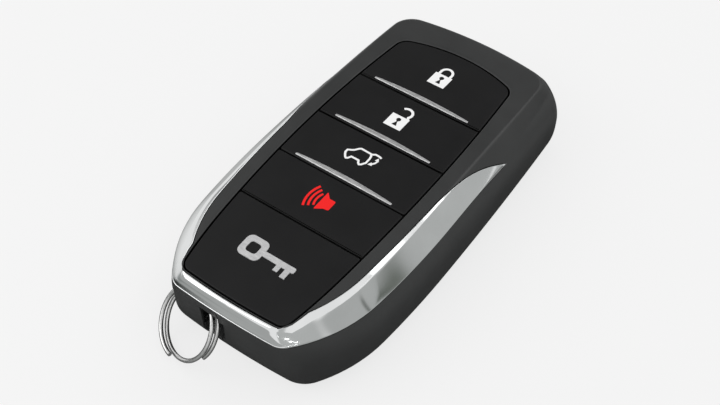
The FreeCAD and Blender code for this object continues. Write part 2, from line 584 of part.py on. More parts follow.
head = whole.common(head_space)
blade_half = mm("blade_wide") / 2
tang = block(mm("blade_x") - blade_half, mm("blade_x") + blade_half, head_far - mm("tang_long"),
             head_far + 1, mm("blade_z"), mm("blade_z + blade_thick"))
head = head.cut(tang)
head = head.cut(Part.makeCylinder(mm("pin_radius"), mm("blade_thick") + 3,
                                  Vector(mm("blade_x"), head_far - mm("tang_long") / 2, mm("blade_z") - 1.5)))
# The ring's way round its post: a slot under a lintel, a tunnel, and a mouth at the corner.
slot_top, roof_top = mm(SHOULDER_LEVEL + " - slot_drop"), mm(SHOULDER_LEVEL + " - tunnel_drop")
lintel, back = mm("lintel_back"), mm("tunnel_back")
slot = Part.Face(Part.makePolygon([
    Vector(mm("slot_left"), -60, -5), Vector(mm("slot_left"), -60, slot_top),
    Vector(mm("slot_left"), lintel - 0.5, slot_top), Vector(mm("slot_left"), lintel, slot_top + 0.6),
    Vector(mm("slot_left"), lintel + 0.8, roof_top), Vector(mm("slot_left"), back, roof_top),
    Vector(mm("slot_left"), back, -5), Vector(mm("slot_left"), -60, -5)]))
slot = slot.extrude(Vector(head_right + 1 - mm("slot_left"), 0, 0))
post_back, post_end = mm("post_back"), mm("post_end")
way = Part.Face(Part.makePolygon([
    Vector(head_right + 1, post_back - 0.8, 0), Vector(mm("slot_left"), post_back - 0.8, 0),
    Vector(mm("slot_left") - 0.8, post_back, 0), Vector(post_end + 0.8, post_back, 0),
    Vector(post_end, post_back - 0.8, 0), Vector(post_end, -60, 0), Vector(-40, -60, 0),
    Vector(-40, back, 0), Vector(head_right + 1, back, 0), Vector(head_right + 1, post_back - 0.8, 0)]))
way = way.extrude(Vector(0, 0, 30))
side, mouth_roof = mm("mouth_side"), mm(SHOULDER_LEVEL + " - mouth_drop")
rise = roof_top - mouth_roof
under_roof = Part.Face(Part.makePolygon([
    Vector(head_right + 1, -60, mm("tunnel_floor")), Vector(head_right + 1, -60, roof_top),
    Vector(side + rise, -60, roof_top), Vector(side, -60, mouth_roof),
    Vector(-40, -60, mouth_roof), Vector(-40, -60, mm("tunnel_floor")),
    Vector(head_right + 1, -60, mm("tunnel_floor"))]))
under_roof = under_roof.extrude(Vector(0, 60, 0))
head = head.cut(slot).cut(way.common(under_roof))
nodes.append(piece("key_head", head))

# Split ring: one unbroken wire, wound nearly twice, leaning from the slot to the floor.
turn, tip = math.radians(mm("ring_turn_at")), math.radians(mm("ring_tip_at"))
axis = Vector(-math.cos(turn) * math.cos(tip), -math.sin(turn) * math.cos(tip), math.sin(tip))
level_line = axis.cross(Vector(0, 0, 1))
level_line.normalize()
if level_line.x < 0:
    level_line = level_line * -1
slope_line = level_line.cross(axis)
slope_line.normalize()
if slope_line.z < 0:
    slope_line = slope_line * -1
ring_middle = Vector(mm("ring_x"), mm("ring_y"), mm(SHOULDER_LEVEL + " - ring_drop"))
ring_radius, wire = mm("ring_radius"), mm("ring_wire")


def ring_point(angle):
    turned = angle - math.radians(mm("ring_start"))
    along = axis * (mm("ring_pitch") * turned / (2 * math.pi))
    return (ring_middle + level_line * (ring_radius * math.cos(angle))
            + slope_line * (ring_radius * math.sin(angle)) + along)


def arc_from(start, control, end):
    # An arc that leaves its start towards a control point as far away as the end is.
    middle = (start + end) * 0.5
    half, rise = (end - start).Length / 2, (control - middle).Length
    if rise < 1e-6 * half:
        return Part.makeLine(start, end)
    lift = control - middle
    lift.normalize()
    return Part.Arc(start, middle + lift * (half * math.tan(math.atan2(rise, half) / 2)), end).toShape()


def tube(point_at, start, end, count, radius):
    # One unbroken round wire along a formula: two tangent arcs to each step, in one sweep.
    edges = []
    for n in range(count):
        low, high = [start + (end - start) * k / count for k in (n, n + 1)]
        first, last = point_at(low), point_at(high)
        nudge = 1e-5
        leave = point_at(low + nudge) - point_at(low - nudge)
        arrive = point_at(high + nudge) - point_at(high - nudge)
        leave.normalize()
        arrive.normalize()
        span = last - first
        a = 2 * (1 - leave.dot(arrive))
        b = 2 * span.dot(leave + arrive)
        c = -span.dot(span)
        reach = (-b + math.sqrt(b * b - 4 * a * c)) / (2 * a)
        one, two = first + leave * reach, last - arrive * reach
        join = (one + two) * 0.5
        edges += [arc_from(first, one, join), arc_from(join, two, last)]
    path = Part.Wire(edges)
    nudge = 1e-5
    circle = Part.Circle(point_at(start), point_at(start + nudge) - point_at(start - nudge), radius)
    return path.makePipeShell([Part.Wire([circle.toShape()])], True, False)


turned_half = math.radians(360 * mm("ring_turns") / 2)
ring_mid = math.radians(mm("ring_start"))
ring_wire = tube(ring_point, ring_mid - turned_half, ring_mid + turned_half, 4, wire / 2)
nodes.append(piece("split_ring", ring_wire))
apart = min((ring_point(a) - ring_point(a + 2 * math.pi)).Length
            for a in [ring_mid - turned_half + 0.05 * n for n in range(100)]) - wire
print("split ring: least gap between its turns %.2f mm" % apart)

# Release slide on the back, and the spring that pushes it towards the head.
slide = new_body("release_slide", "cover_floor + 0.1")
SLIDE_L, SLIDE_R = "(slide_x - slide_long / 2)", "(slide_x + slide_long / 2)"
plate_sketch = corner_sketch(slide, "slide_plate_outline", [
    ("head_side + head_gap", "slide_y - bolt_wide / 2"), (SLIDE_L, "slide_y - bolt_wide / 2"),
    (SLIDE_L, "slide_y - slide_wide / 2"), (SLIDE_R, "slide_y - slide_wide / 2"),
    (SLIDE_R, "slide_y + slide_wide / 2"), (SLIDE_L, "slide_y + slide_wide / 2"),
    (SLIDE_L, "slide_y + bolt_wide / 2"), ("head_side + head_gap", "slide_y + bolt_wide / 2")])
add_pad(slide, "slide_plate_solid", plate_sketch, "slide_plate")
thumb = corner_sketch(slide, "thumb_outline", rectangle(
    "slide_x - slide_long / 2 + 1 + slide_gap", "slide_x + slide_long / 2 - 1",
    "slide_y - slide_wide / 2 + 1", "slide_y + slide_wide / 2 - 1"), "0.2 - cover_floor")
add_pad(slide, "thumb_solid", thumb, "cover_floor")
for number in range(3):
    rib = corner_sketch(slide, "thumb_groove_%d" % number, rectangle(
        "slide_x + %.1f - 0.3" % (1.3 * number - 1.3), "slide_x + %.1f + 0.3" % (1.3 * number - 1.3),
        "slide_y - slide_wide / 2", "slide_y + slide_wide / 2"), "0.2 - cover_floor")
    add_pocket(slide, "thumb_groove_cut_%d" % number, rib, "slide_rib", True)

spring_z = mm("cover_floor + 0.1 + slide_plate / 2")
spring_r, spring_wire = mm("spring_radius"), mm("spring_wire")
spring_x = slide_x + half_long + spring_wire / 2 + 0.02


def spring_point(angle):
    along = (mm("spring_long") - spring_wire) * angle / (2 * math.pi * mm("spring_turns"))
    return Vector(spring_x + along, slide_y + spring_r * math.cos(angle), spring_z + 0.4 + spring_r * math.sin(angle))


spring = tube(spring_point, 0, 2 * math.pi * mm("spring_turns"), 2 * int(mm("spring_turns")), spring_wire / 2)
nodes.append(piece("release_spring", spring))
print("release spring: least gap between its turns %.2f mm"
      % ((mm("spring_long") - spring_wire) / mm("spring_turns") - spring_wire))

doc.recompute()
faulty = [item.Label for item in doc.Objects if "Invalid" in item.State or "Error" in item.State]
for item in nodes:
    if item.Shape.isNull() or not item.Shape.isValid():
        faulty.append(item.Label)
print("faulty:", faulty)
os.makedirs("parts", exist_ok=True)
for item in nodes:
    item.Shape.exportStep("parts/%s.step" % item.Label)
    box = item.Shape.BoundBox
    print("%-18s solids %d volume %8.1f  x %6.2f %6.2f  y %6.2f %6.2f  z %5.2f %5.2f" % (
        item.Label, len(item.Shape.Solids), item.Shape.Volume, box.XMin, box.XMax,
        box.YMin, box.YMax, box.ZMin, box.ZMax))
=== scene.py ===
# %% [markdown]
# # Dressing a smart car key
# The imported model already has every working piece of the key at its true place. This lesson gives
# those pieces the surfaces that the hand and the eye meet: a crowned plastic case, a bright band
# that wraps its nose, soft black buttons with silver bars, and a wire ring. Nothing is moved.

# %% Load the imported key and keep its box
import json
import math
import bmesh
import bpy
import numpy as np
from mathutils import Matrix, Vector
from mathutils.geometry import tessellate_polygon

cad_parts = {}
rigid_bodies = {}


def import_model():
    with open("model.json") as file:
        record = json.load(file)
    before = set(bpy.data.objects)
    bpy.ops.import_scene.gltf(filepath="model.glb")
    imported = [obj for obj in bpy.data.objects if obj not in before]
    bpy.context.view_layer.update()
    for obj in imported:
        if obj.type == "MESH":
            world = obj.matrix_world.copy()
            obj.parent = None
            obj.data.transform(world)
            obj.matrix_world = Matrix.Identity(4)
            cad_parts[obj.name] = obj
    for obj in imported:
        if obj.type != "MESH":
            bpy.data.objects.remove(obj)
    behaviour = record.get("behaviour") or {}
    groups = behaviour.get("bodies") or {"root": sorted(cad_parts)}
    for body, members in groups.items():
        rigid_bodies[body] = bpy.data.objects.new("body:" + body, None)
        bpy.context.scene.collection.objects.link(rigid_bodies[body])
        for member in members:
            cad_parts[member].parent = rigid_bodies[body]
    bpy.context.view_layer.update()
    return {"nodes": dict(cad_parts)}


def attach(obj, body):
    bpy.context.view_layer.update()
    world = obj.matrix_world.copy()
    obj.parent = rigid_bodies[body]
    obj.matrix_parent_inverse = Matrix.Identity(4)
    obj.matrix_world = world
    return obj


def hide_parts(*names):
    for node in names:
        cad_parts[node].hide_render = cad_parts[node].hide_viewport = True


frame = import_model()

MM = 0.001

# %% [markdown]
# ## Where the photographer stood
# A product shot is judged against its photograph, so the camera comes first. It could be placed by
# eye, but here it was fitted to the outlines in the photograph. It looks down on the key from its
# front right, 50 degrees above the table. A rather long lens keeps the far end from shrinking.

# %% Camera
DOWNWARD, TURNED = 49.644, 35.567
shot = bpy.data.cameras.new("shot")
shot.lens = 57.74
shot.sensor_width = 36.0
shot.clip_start = 0.01
shot.clip_end = 20.0
camera = bpy.data.objects.new("shot", shot)
camera.location = (0.07924, -0.11268, 0.16614)
camera.rotation_euler = (math.radians(90 - DOWNWARD), 0.0, math.radians(TURNED))
bpy.context.collection.objects.link(camera)
bpy.context.scene.camera = camera
bpy.context.scene.view_settings.view_transform = "Standard"
print("camera", tuple(round(v, 4) for v in camera.location))

# %% [markdown]
# ## One plan, many heights
# The case is a stack of plans, like contour lines on a map. Each plan has bowed ends, long bowed
# sides and a taper towards the ring. Between two heights the numbers of the plan are mixed, so the
# side can curl in at the floor and lean in at the shoulder. A sculpted block could look the same,
# but here every plan has its points in the same order, so a column of points runs straight up the
# side, and the frame, the band, the cover and the key head all share it. Sizes are in millimetres.

# %% Plans of the key
# A plan's numbers: its half width, and where along the key it is that wide; its two ends; the radii
# of its ends, sides, corners and taper; and where the taper begins
ENDS = dict(top_r=90.0, front_r=150.0, taper_r=27.0)
BODY = dict(ENDS, half=20.8, wide=-5, top=39.6, front=-38.8, upper_r=745, lower_r=200,
            corner_r=3.8, nose_r=4.5, taper=-22)
FOOT = dict(BODY, half=17.4, top=35.9, front=-33, corner_r=5, nose_r=4.5)
SHOULDER = dict(ENDS, half=19.55, wide=-6, top=39.9, front=-39.45, upper_r=360, lower_r=160,
                top_r=70, corner_r=4.6, nose_r=3, taper=-23)
RIM = dict(ENDS, half=16.5, wide=2, top=36.6, front=-36.6, upper_r=470, lower_r=400,
           top_r=78, corner_r=4.5, nose_r=2.4, taper=-21)
PAD = dict(half=13.35, wide=2, top=31.8, front=-37.35, upper_r=300, lower_r=320, top_r=30,
           front_r=135, corner_r=2.6, nose_r=1.7, taper=-25, taper_r=100)
TRIM = dict(RIM, half=16.3, wide=4, top=39.6, front=-36.4, lower_r=290, corner_r=3.8, nose_r=3,
            top_r=90, taper=-22)
# Heights of the widest level, the shoulder, the top of the crown and the part line
WIDEST, SHOULDER_AT, HIGH, PART_LINE = 7.5, 13.4, 17.2, 2.6
# The arc that bows the face along the key: its radius, and the place of its highest point
CROWN_R, CROWN_AT = 654.0, -6.0
# The tip of the bright band, seen from the side
TIP_Y, TIP_Z = 16.3, 12.5
# The gap round the pad, and the rolled edge of the frame beside it
PAD_GAP, EDGE = 0.3, 0.2
print("widest %.1f mm, longest %.2f mm" % (2 * BODY["half"], SHOULDER["top"] - SHOULDER["front"]))


def between(one, other, share):
    """A plan part of the way from one plan to another."""
    return {kind: one[kind] + (other[kind] - one[kind]) * share for kind in one}


def crown(y, lower=0.0):
    """Height of the bowed face at a distance along the key."""
    return HIGH - lower - CROWN_R + np.sqrt(CROWN_R ** 2 - (np.asarray(y) - CROWN_AT) ** 2)


# %% The outline of a plan
def towards(centre, radius, target):
    """The point of a circle that lies on the way from its centre to a target."""
    line = target - centre
    return centre + line * (radius / np.linalg.norm(line))


def meeting(one, one_reach, other, other_reach):
    """Where two circles cross, on the right of the key."""
    line = other - one
    span = np.linalg.norm(line)
    along = (one_reach ** 2 - other_reach ** 2 + span ** 2) / (2 * span)
    across = math.sqrt(max(one_reach ** 2 - along ** 2, 0))
    line = line / span
    normal = np.array([-line[1], line[0]])
    picks = [one + line * along + normal * side * across for side in (-1, 1)]
    return max(picks, key=lambda point: point[0])


def arc_points(centre, radius, start, end, count):
    """Points along an arc, its end left out, because the next arc starts there."""
    first = math.atan2(*(start - centre)[::-1])
    last = math.atan2(*(end - centre)[::-1])
    sweep = (last - first + math.pi) % (2 * math.pi) - math.pi
    angles = first + sweep * np.arange(count) / count
    return centre + radius * np.stack([np.cos(angles), np.sin(angles)], -1)


# How many points each arc has, and the least radius of a corner
COUNTS = dict(top=12, corner=16, far=18, side=16, lower=22, taper=10, nose=10, front=12)
LEAST_R = 0.4


def outline(form, inset=0.0):
    """The whole plan, clockwise from the middle of the lock end: an array of x and y."""
    top_r, front_r = form["top_r"], form["front_r"]
    upper, lower, taper = form["upper_r"], form["lower_r"], form["taper_r"]
    top_c = np.array([0, form["top"] - top_r])
    front_c = np.array([0, form["front"] + front_r])
    upper_c = np.array([form["half"] - upper, form["wide"]])
    lower_c = np.array([form["half"] - lower, form["wide"]])
    turn = form["taper"] - form["wide"]
    turn_point = lower_c + np.array([math.sqrt(lower ** 2 - turn ** 2), turn])
    taper_c = towards(turn_point, taper, lower_c)
    top_r, front_r, upper, lower, taper = [r - inset for r in (top_r, front_r, upper, lower, taper)]
    corner, nose = max(form["corner_r"] - inset, LEAST_R), max(form["nose_r"] - inset, LEAST_R)
    corner_c = meeting(top_c, top_r - corner, upper_c, upper - corner)
    nose_c = meeting(taper_c, taper - nose, front_c, front_r - nose)
    tip = upper_c + np.array([math.sqrt(upper ** 2 - (TIP_Y - upper_c[1]) ** 2), TIP_Y - upper_c[1]])
    stops = [top_c + [0, top_r], towards(top_c, top_r, corner_c), towards(upper_c, upper, corner_c),
             tip, upper_c + [upper, 0], towards(lower_c, lower, turn_point),
             towards(taper_c, taper, nose_c), towards(front_c, front_r, nose_c), front_c - [0, front_r]]
    centres = [(top_c, top_r), (corner_c, corner), (upper_c, upper), (upper_c, upper), (lower_c, lower),
               (taper_c, taper), (nose_c, nose), (front_c, front_r)]
    right = [arc_points(c, r, stops[n], stops[n + 1], count)
             for n, ((c, r), count) in enumerate(zip(centres, COUNTS.values()))]
    right = np.concatenate(right + [stops[-1][None, :]])
    left = right[1:-1][::-1] * [-1, 1]
    return np.concatenate([right, left])


COLUMNS = len(outline(BODY))


def level_row(form, inset, level):
    """A plan, drawn in by an inset and laid at a height."""
    return np.column_stack([outline(form, inset), np.full(COLUMNS, level)])


TIP = COUNTS["top"] + COUNTS["corner"] + COUNTS["far"]
print(COLUMNS, "columns, the bright band's tip is column", TIP)

# %% [markdown]
# ## The skin, and how far along it
# The outer surface is a table of heights and columns. For most work a plainer measure is better:
# how many millimetres along the surface from the crest, where the side meets the bowed face. Below
# the crest the number is negative, and above it, towards the buttons, it is positive. Around zero
# the corner is eased into a soft bend, which is what catches the light on a moulded edge.


# %% The skin of the case, at any inset
# The powers of the curve that curls the side in at the floor
CURL_LOW, CURL_HIGH = 3.2, 2.2


def plan_at(step):
    """The plan and its height: 0 is the floor, 1 the widest level, 2 the shoulder, 3 the rim."""
    if step <= 1:
        curl = 1 - (1 - (1 - step) ** CURL_LOW) ** (1 / CURL_HIGH)
        return between(BODY, FOOT, curl), step * WIDEST
    if step <= 2:
        return between(BODY, SHOULDER, (step - 1) ** 2), WIDEST + (SHOULDER_AT - WIDEST) * (step - 1)
    part = step - 2
    form = between(SHOULDER, RIM, part)
    over = 1 - math.sqrt(1 - min(part, 1) ** 2)
    form["front"] = SHOULDER["front"] + (RIM["front"] - SHOULDER["front"]) * over
    return form, SHOULDER_AT + (HIGH - SHOULDER_AT) * part


# The rows lie close together at the floor, and end a little above the rim, past the crown
STEPS = np.concatenate([(np.arange(26) / 26.0) ** 2.4, 1 + np.arange(18) / 18.0,
                        2 + np.arange(49) / 42.0])


class Skin:
    """The outside of the closed key, or the same form a little smaller or larger."""

    # Half the length of the soft bend at the crest
    ease = 0.5

    def __init__(self, inset=0.0, lower=0.0):
        rows = []
        for step in STEPS:
            form, level = plan_at(step)
            rows.append(level_row(form, inset, level))
        table = np.array(rows)
        self.lower = lower
        over = table[:, :, 2] - crown(table[:, :, 1], lower)
        last = np.argmax(over > 0, axis=0)
        self.side, self.length, self.top = [], [], []
        goal = outline(PAD, -(PAD_GAP + EDGE))
        for n in range(COLUMNS):
            k = last[n]
            share = over[k - 1, n] / (over[k - 1, n] - over[k, n])
            crest = table[k - 1, n] * (1 - share) + table[k, n] * share
            side = np.concatenate([table[:k, n], crest[None, :]])
            gaps = np.linalg.norm(np.diff(side, axis=0), axis=1)
            self.side.append(side)
            self.length.append(np.concatenate([[0], np.cumsum(gaps)]) - gaps.sum())
            self.top.append((crest, goal[n]))

    def sharp(self, n, along):
        """A point of column n, with the corner at the crest left sharp."""
        if along <= 0:
            side, length = self.side[n], self.length[n]
            return np.array([np.interp(along, length, side[:, axis]) for axis in range(3)])
        crest, goal = self.top[n]
        line = goal - crest[:2]
        flat = crest[:2] + line * (along / np.linalg.norm(line))
        return np.array([flat[0], flat[1], crown(flat[1], self.lower)])

    def reach(self, n):
        """Millimetres from the crest to the inner line."""
        crest, goal = self.top[n]
        return float(np.linalg.norm(goal - crest[:2]))

    def at(self, n, along):
        """A point of column n, with the crest eased."""
        ease = min(self.ease, 0.6 * self.reach(n))
        if abs(along) >= ease:
            return self.sharp(n, along)
        share = (along + ease) / (2 * ease)
        one, mid, two = self.sharp(n, -ease), self.sharp(n, 0.0), self.sharp(n, ease)
        return one * (1 - share) ** 2 + mid * 2 * share * (1 - share) + two * share ** 2

    def along_at_height(self, n, level):
        """How far along column n a height lies."""
        return float(np.interp(level, self.side[n][:, 2], self.length[n]))


outside = Skin()
print("side of the case, floor to crest: %.1f mm" % -outside.length[COUNTS["top"]][0])

# %% [markdown]
# ## From points to a mesh
# Rows of points become a skin of four-sided faces. Where rows meet, doubled points are merged, and
# the normals of a closed form are then turned outwards. Corners sharper than a set angle stay sharp.
# Straight-sided openings are cut out afterwards with plain tools, because a boolean cut leaves a
# clean edge there. On the buttons the large faces rule the shading, so that flats look flat.


# %% Helpers that make finished objects
def finished(name, bm, sharp_angle=40.0):
    """Merges doubled points, turns the faces outwards, and makes an object with smooth shading."""
    bmesh.ops.remove_doubles(bm, verts=bm.verts, dist=2e-6)
    bmesh.ops.dissolve_degenerate(bm, edges=bm.edges, dist=1e-6)
    bmesh.ops.recalc_face_normals(bm, faces=bm.faces)
    mesh = bpy.data.meshes.new(name)
    bm.to_mesh(mesh)
    bm.free()
    mesh.shade_smooth()
    mesh.set_sharp_from_angle(angle=math.radians(sharp_angle))
    item = bpy.data.objects.new(name, mesh)
    bpy.context.collection.objects.link(item)
    return item


def settled(item):
    """Applies an object's modifiers, so that it is one plain mesh."""
    bpy.context.view_layer.update()
    done = item.evaluated_get(bpy.context.evaluated_depsgraph_get())
    mesh = bpy.data.meshes.new_from_object(done)
    item.modifiers.clear()
    old = item.data
    item.data = mesh
    bpy.data.meshes.remove(old)
    mesh.name = item.name
    return item


def joined_rows(bm, rows, ring=False):
    """Joins rows of points by four-sided faces. In a ring the last row is joined to the first."""
    lines = [[bm.verts.new(Vector(point) * MM) for point in row] for row in rows]
    for low, high in zip(lines, lines[1:] + lines[:1] * ring):
        for n in range(len(low)):
            m = (n + 1) % len(low)
            bm.faces.new((low[n], low[m], high[m], high[n]))
    return lines


def grid_solid(name, rows, ends="capped", sharp_angle=40.0):
    """A closed form from rows of points, whose ends are capped, joined, or shrunk to an edge."""
    bm = bmesh.new()
    lines = joined_rows(bm, rows, ring=ends == "joined")
    if ends == "capped":
        bm.faces.new(lines[0][::-1])
        bm.faces.new(lines[-1])
    return finished(name, bm, sharp_angle)


def tool_block(name, low, high):
    """A plain block used only to cut with."""
    bm = bmesh.new()
    bmesh.ops.create_cube(bm, size=1.0)
    low, high = np.array(low), np.array(high)
    for vert in bm.verts:
        vert.co = Vector((low + (np.array(vert.co) + 0.5) * (high - low)) * MM)
    return finished(name, bm)


def tool_prism(name, corners, axis, start, end):
    """A polygon drawn in the plane across an axis and drawn out along it, used only to cut with."""
    rows = [[(*corner[:axis], place, *corner[axis:]) for corner in corners] for place in (start, end)]
    return grid_solid(name, rows)


def carve(item, tool, how="DIFFERENCE"):
    """Cuts a form with a tool, and throws the tool away."""
    step = item.modifiers.new("cut", "BOOLEAN")
    step.operation = how
    step.solver = "EXACT"
    step.object = tool
    settled(item)
    bpy.data.objects.remove(tool)
    item.data.shade_smooth()
    item.data.set_sharp_from_angle(angle=math.radians(35))


def weighted(item):
    """Lets the large faces rule the shading."""
    step = item.modifiers.new("weight", "WEIGHTED_NORMAL")
    step.keep_sharp = True
    return settled(item)


# %% [markdown]
# ## Finishes
# Moulded plastic is never one flat grey: the tool leaves a fine grain, and handling polishes some of
# it. A picture of plastic would need seams and an unwrapped surface, so noise is used instead. Each
# plastic below mixes two close tones by a soft noise, and takes a very small bump from a fine one.
# Each metal has fine lines, drawn out along the way it was brushed. All patterns are fixed to the
# object, so they stay put when the camera moves.


# %% A kit for finishes
def wire_up(name):
    """A new material with its parts: the tree, its shader and its coordinates."""
    finish = bpy.data.materials.new(name)
    finish.use_nodes = True
    tree = finish.node_tree
    shader = tree.nodes["Principled BSDF"]
    place = tree.nodes.new("ShaderNodeTexCoord")
    return finish, tree, shader, place


def noise(tree, place, scale, stretch=(1, 1, 1), detail=3.0):
    """A noise fixed to the object, drawn out where an axis is stretched by less than 1."""
    mapping = tree.nodes.new("ShaderNodeMapping")
    mapping.inputs["Scale"].default_value = stretch
    node = tree.nodes.new("ShaderNodeTexNoise")
    node.inputs["Scale"].default_value = scale
    node.inputs["Detail"].default_value = detail
    tree.links.new(place.outputs["Object"], mapping.inputs["Vector"])
    tree.links.new(mapping.outputs["Vector"], node.inputs["Vector"])
    return node.outputs["Fac"]


def tones(tree, value, low, high, socket):
    """Turns a noise into a colour between two close tones."""
    ramp = tree.nodes.new("ShaderNodeValToRGB")
    for stop, position, tone in zip(ramp.color_ramp.elements, (0.3, 0.7), (low, high)):
        stop.position = position
        stop.color = (*tone, 1)
    tree.links.new(value, ramp.inputs["Fac"])
    tree.links.new(ramp.outputs["Color"], socket)


def spread(tree, value, low, high, socket):
    """Turns a value from 0 to 1 into one from low to high."""
    node = tree.nodes.new("ShaderNodeMapRange")
    node.inputs["To Min"].default_value = low
    node.inputs["To Max"].default_value = high
    tree.links.new(value, node.inputs["Value"])
    tree.links.new(node.outputs["Result"], socket)


def bump(tree, shader, value, depth):
    """Lets a noise press the surface in and out by a depth in metres."""
    node = tree.nodes.new("ShaderNodeBump")
    node.inputs["Distance"].default_value = depth
    node.inputs["Strength"].default_value = 1.0
    tree.links.new(value, node.inputs["Height"])
    tree.links.new(node.outputs["Normal"], shader.inputs["Normal"])


def moulded(name, low, high, rough, grain=9000.0, depth=2.0e-6, gloss=0.5, patch=120.0):
    """Moulded plastic: close tones in soft patches, a fine grain, and a roughness that wanders."""
    finish, tree, shader, place = wire_up(name)
    soft = noise(tree, place, patch)
    tones(tree, soft, low, high, shader.inputs["Base Color"])
    spread(tree, noise(tree, place, patch * 3), rough - 0.05, rough + 0.05, shader.inputs["Roughness"])
    bump(tree, shader, noise(tree, place, grain, detail=2.0), depth)
    shader.inputs["Specular IOR Level"].default_value = gloss
    return finish


def metal(name, low, high, rough, stretch=(1, 1, 1), grain=4000.0, wander=0.04, pure=1.0):
    """Metal: a tone that wanders a little, and lines drawn out along the way it was brushed."""
    finish, tree, shader, place = wire_up(name)
    lines = noise(tree, place, grain, stretch, detail=4.0)
    tones(tree, lines, low, high, shader.inputs["Base Color"])
    spread(tree, noise(tree, place, 90.0, detail=2.0), rough - wander, rough + wander,
           shader.inputs["Roughness"])
    shader.inputs["Metallic"].default_value = pure
    return finish


# %% The finishes of this key
CASE = moulded("case plastic", (0.029, 0.030, 0.030), (0.035, 0.036, 0.036), 0.42, gloss=0.4)
BUTTON = moulded("button plastic", (0.0072, 0.0072, 0.0075), (0.0092, 0.0092, 0.0095), 0.46,
                 gloss=0.20, grain=12000.0, depth=1.2e-6)
CHROME = metal("bright plating", (0.75, 0.76, 0.76), (0.81, 0.82, 0.82), 0.08, grain=160.0,
               wander=0.02)
BAR = metal("brushed bar", (0.36, 0.36, 0.36), (0.80, 0.80, 0.80), 0.34, stretch=(0.12, 1, 1),
            grain=6000.0, pure=0.55)
BADGE = metal("satin silver", (0.60, 0.60, 0.61), (0.76, 0.76, 0.76), 0.38, stretch=(0.3, 1, 1),
              grain=3000.0, pure=0.5)
STEEL = metal("ring steel", (0.52, 0.52, 0.52), (0.72, 0.72, 0.71), 0.20, grain=3000.0)
BLADE = metal("blade steel", (0.45, 0.45, 0.45), (0.66, 0.66, 0.65), 0.27, stretch=(1, 0.05, 1),
              grain=8000.0)
WHITE = moulded("white print", (0.93, 0.93, 0.93), (0.96, 0.96, 0.96), 0.5, gloss=0.2, depth=5e-7)
RED = moulded("red print", (0.90, 0.014, 0.014), (0.95, 0.018, 0.017), 0.5, gloss=0.15, depth=5e-7)
# The gap wall's near black is painted shade, much darker than the case plastic it belongs to, for the
# deep gap round the pad
PAINTED_GAP_SHADE = moulded("gap wall painted shade", (0.002, 0.002, 0.002), (0.004, 0.004, 0.004), 0.8, gloss=0.05)
RUBBER = moulded("membrane rubber", (0.03, 0.03, 0.032), (0.045, 0.045, 0.047), 0.7, gloss=0.3)
print("finishes:", len(bpy.data.materials))

# %% [markdown]
# ## The bright band
# On the real key this is one plated moulding that wraps the nose and runs up both sides as two
# blades. A boolean cut would leave a ragged edge at the thin tips, so it is drawn column by column
# instead: each column gets one closed slice, from the shoulder line up to the inner edge, and the
# slices shrink to nothing at the tips. The long edges are rolled so that they catch a thin light. A
# fine bead runs along the lower edge at the nose, and a narrow flat cut along the inner edge.


# %% Where the band begins and ends on each column
def circle_through(a, b, c):
    """The centre and the radius of the circle through three points."""
    (ax, ay), (bx, by), (cx, cy) = a, b, c
    aa, bb, cc = ax * ax + ay * ay, bx * bx + by * by, cx * cx + cy * cy
    d = 2 * (ax * (by - cy) + bx * (cy - ay) + cx * (ay - by))
    x = (aa * (by - cy) + bb * (cy - ay) + cc * (ay - by)) / d
    y = (aa * (cx - bx) + bb * (ax - cx) + cc * (bx - ax)) / d
    return np.array([x, y]), math.hypot(ax - x, ay - y)


# The lower edge lies at one height along the nose half, then drops to the tip in an arc. The upper
# edge climbs from the tip in another arc, and leaves the side for the face where it has risen.
LOW_Z = 13.35
LOW_C, LOW_R = circle_through((0, LOW_Z), (0.55 * TIP_Y, LOW_Z - 0.3 * (LOW_Z - TIP_Z)), (TIP_Y, TIP_Z))
RISE_Y, RISE_Z = 1.5, HIGH - 0.15
UP_C, UP_R = circle_through((TIP_Y, TIP_Z), (0.4 * RISE_Y + 0.6 * TIP_Y, 0.63 * RISE_Z + 0.37 * TIP_Z),
                            (RISE_Y, RISE_Z))


def band_low(y):
    """Height of the band's lower edge at a distance along the key."""
    return LOW_Z if y <= 0 else LOW_C[1] + math.sqrt(LOW_R ** 2 - (y - LOW_C[0]) ** 2)


def band_high(y):
    """Height of the blade's upper edge, which lies out of reach where the band is on the face."""
    return 99.0 if y < RISE_Y else UP_C[1] + math.sqrt(max(UP_R ** 2 - (y - UP_C[0]) ** 2, 0))


def inside_plan(form, inset):
    """A test of whether a point lies inside a plan. It counts the sides that lie to its right."""
    loop = outline(form, inset)
    after = np.roll(loop, -1, axis=0)
    run, rise = (after - loop).T

    def test(point):
        x, y = point
        crosses = (loop[:, 1] > y) != (after[:, 1] > y)
        with np.errstate(divide="ignore", invalid="ignore"):
            where = loop[:, 0] + (y - loop[:, 1]) * run / rise
        return np.count_nonzero(crosses & (x < where)) % 2 == 1
    return test


# On the face the band ends at its own inner line, or where the lip of the opening begins
in_trim, in_lip = inside_plan(TRIM, 0.0), inside_plan(PAD, -0.65)


def side_crossing(n, line):
    """Where column n crosses a line drawn on the side view, in millimetres along the skin."""
    side, length = outside.side[n], outside.length[n]
    over = side[:, 2] - np.array([line(y) for y in side[:, 1]])
    k = int(np.argmax(over > 0)) if (over > 0).any() else -1
    if k <= 0:
        return 0.0
    share = over[k - 1] / (over[k - 1] - over[k])
    return float(length[k - 1] * (1 - share) + length[k] * share)


def band_end(n):
    """The band's inner edge: on the side near the tips, and on the face everywhere else."""
    if outside.side[n][-1, 1] > RISE_Y:
        return side_crossing(n, band_high)
    step, along = 0.02, 0.0
    while along < outside.reach(n):
        point = outside.sharp(n, along)[:2]
        if in_trim(point) or in_lip(point):
            break
        along += step
    return along


RIGHT = list(range(TIP, COLUMNS // 2 + 1))
WRAP = RIGHT + [COLUMNS - n for n in reversed(RIGHT[:-1])]
LOWS = {n: side_crossing(n, band_low) for n in WRAP}
HIGHS = {n: band_end(n) for n in WRAP}
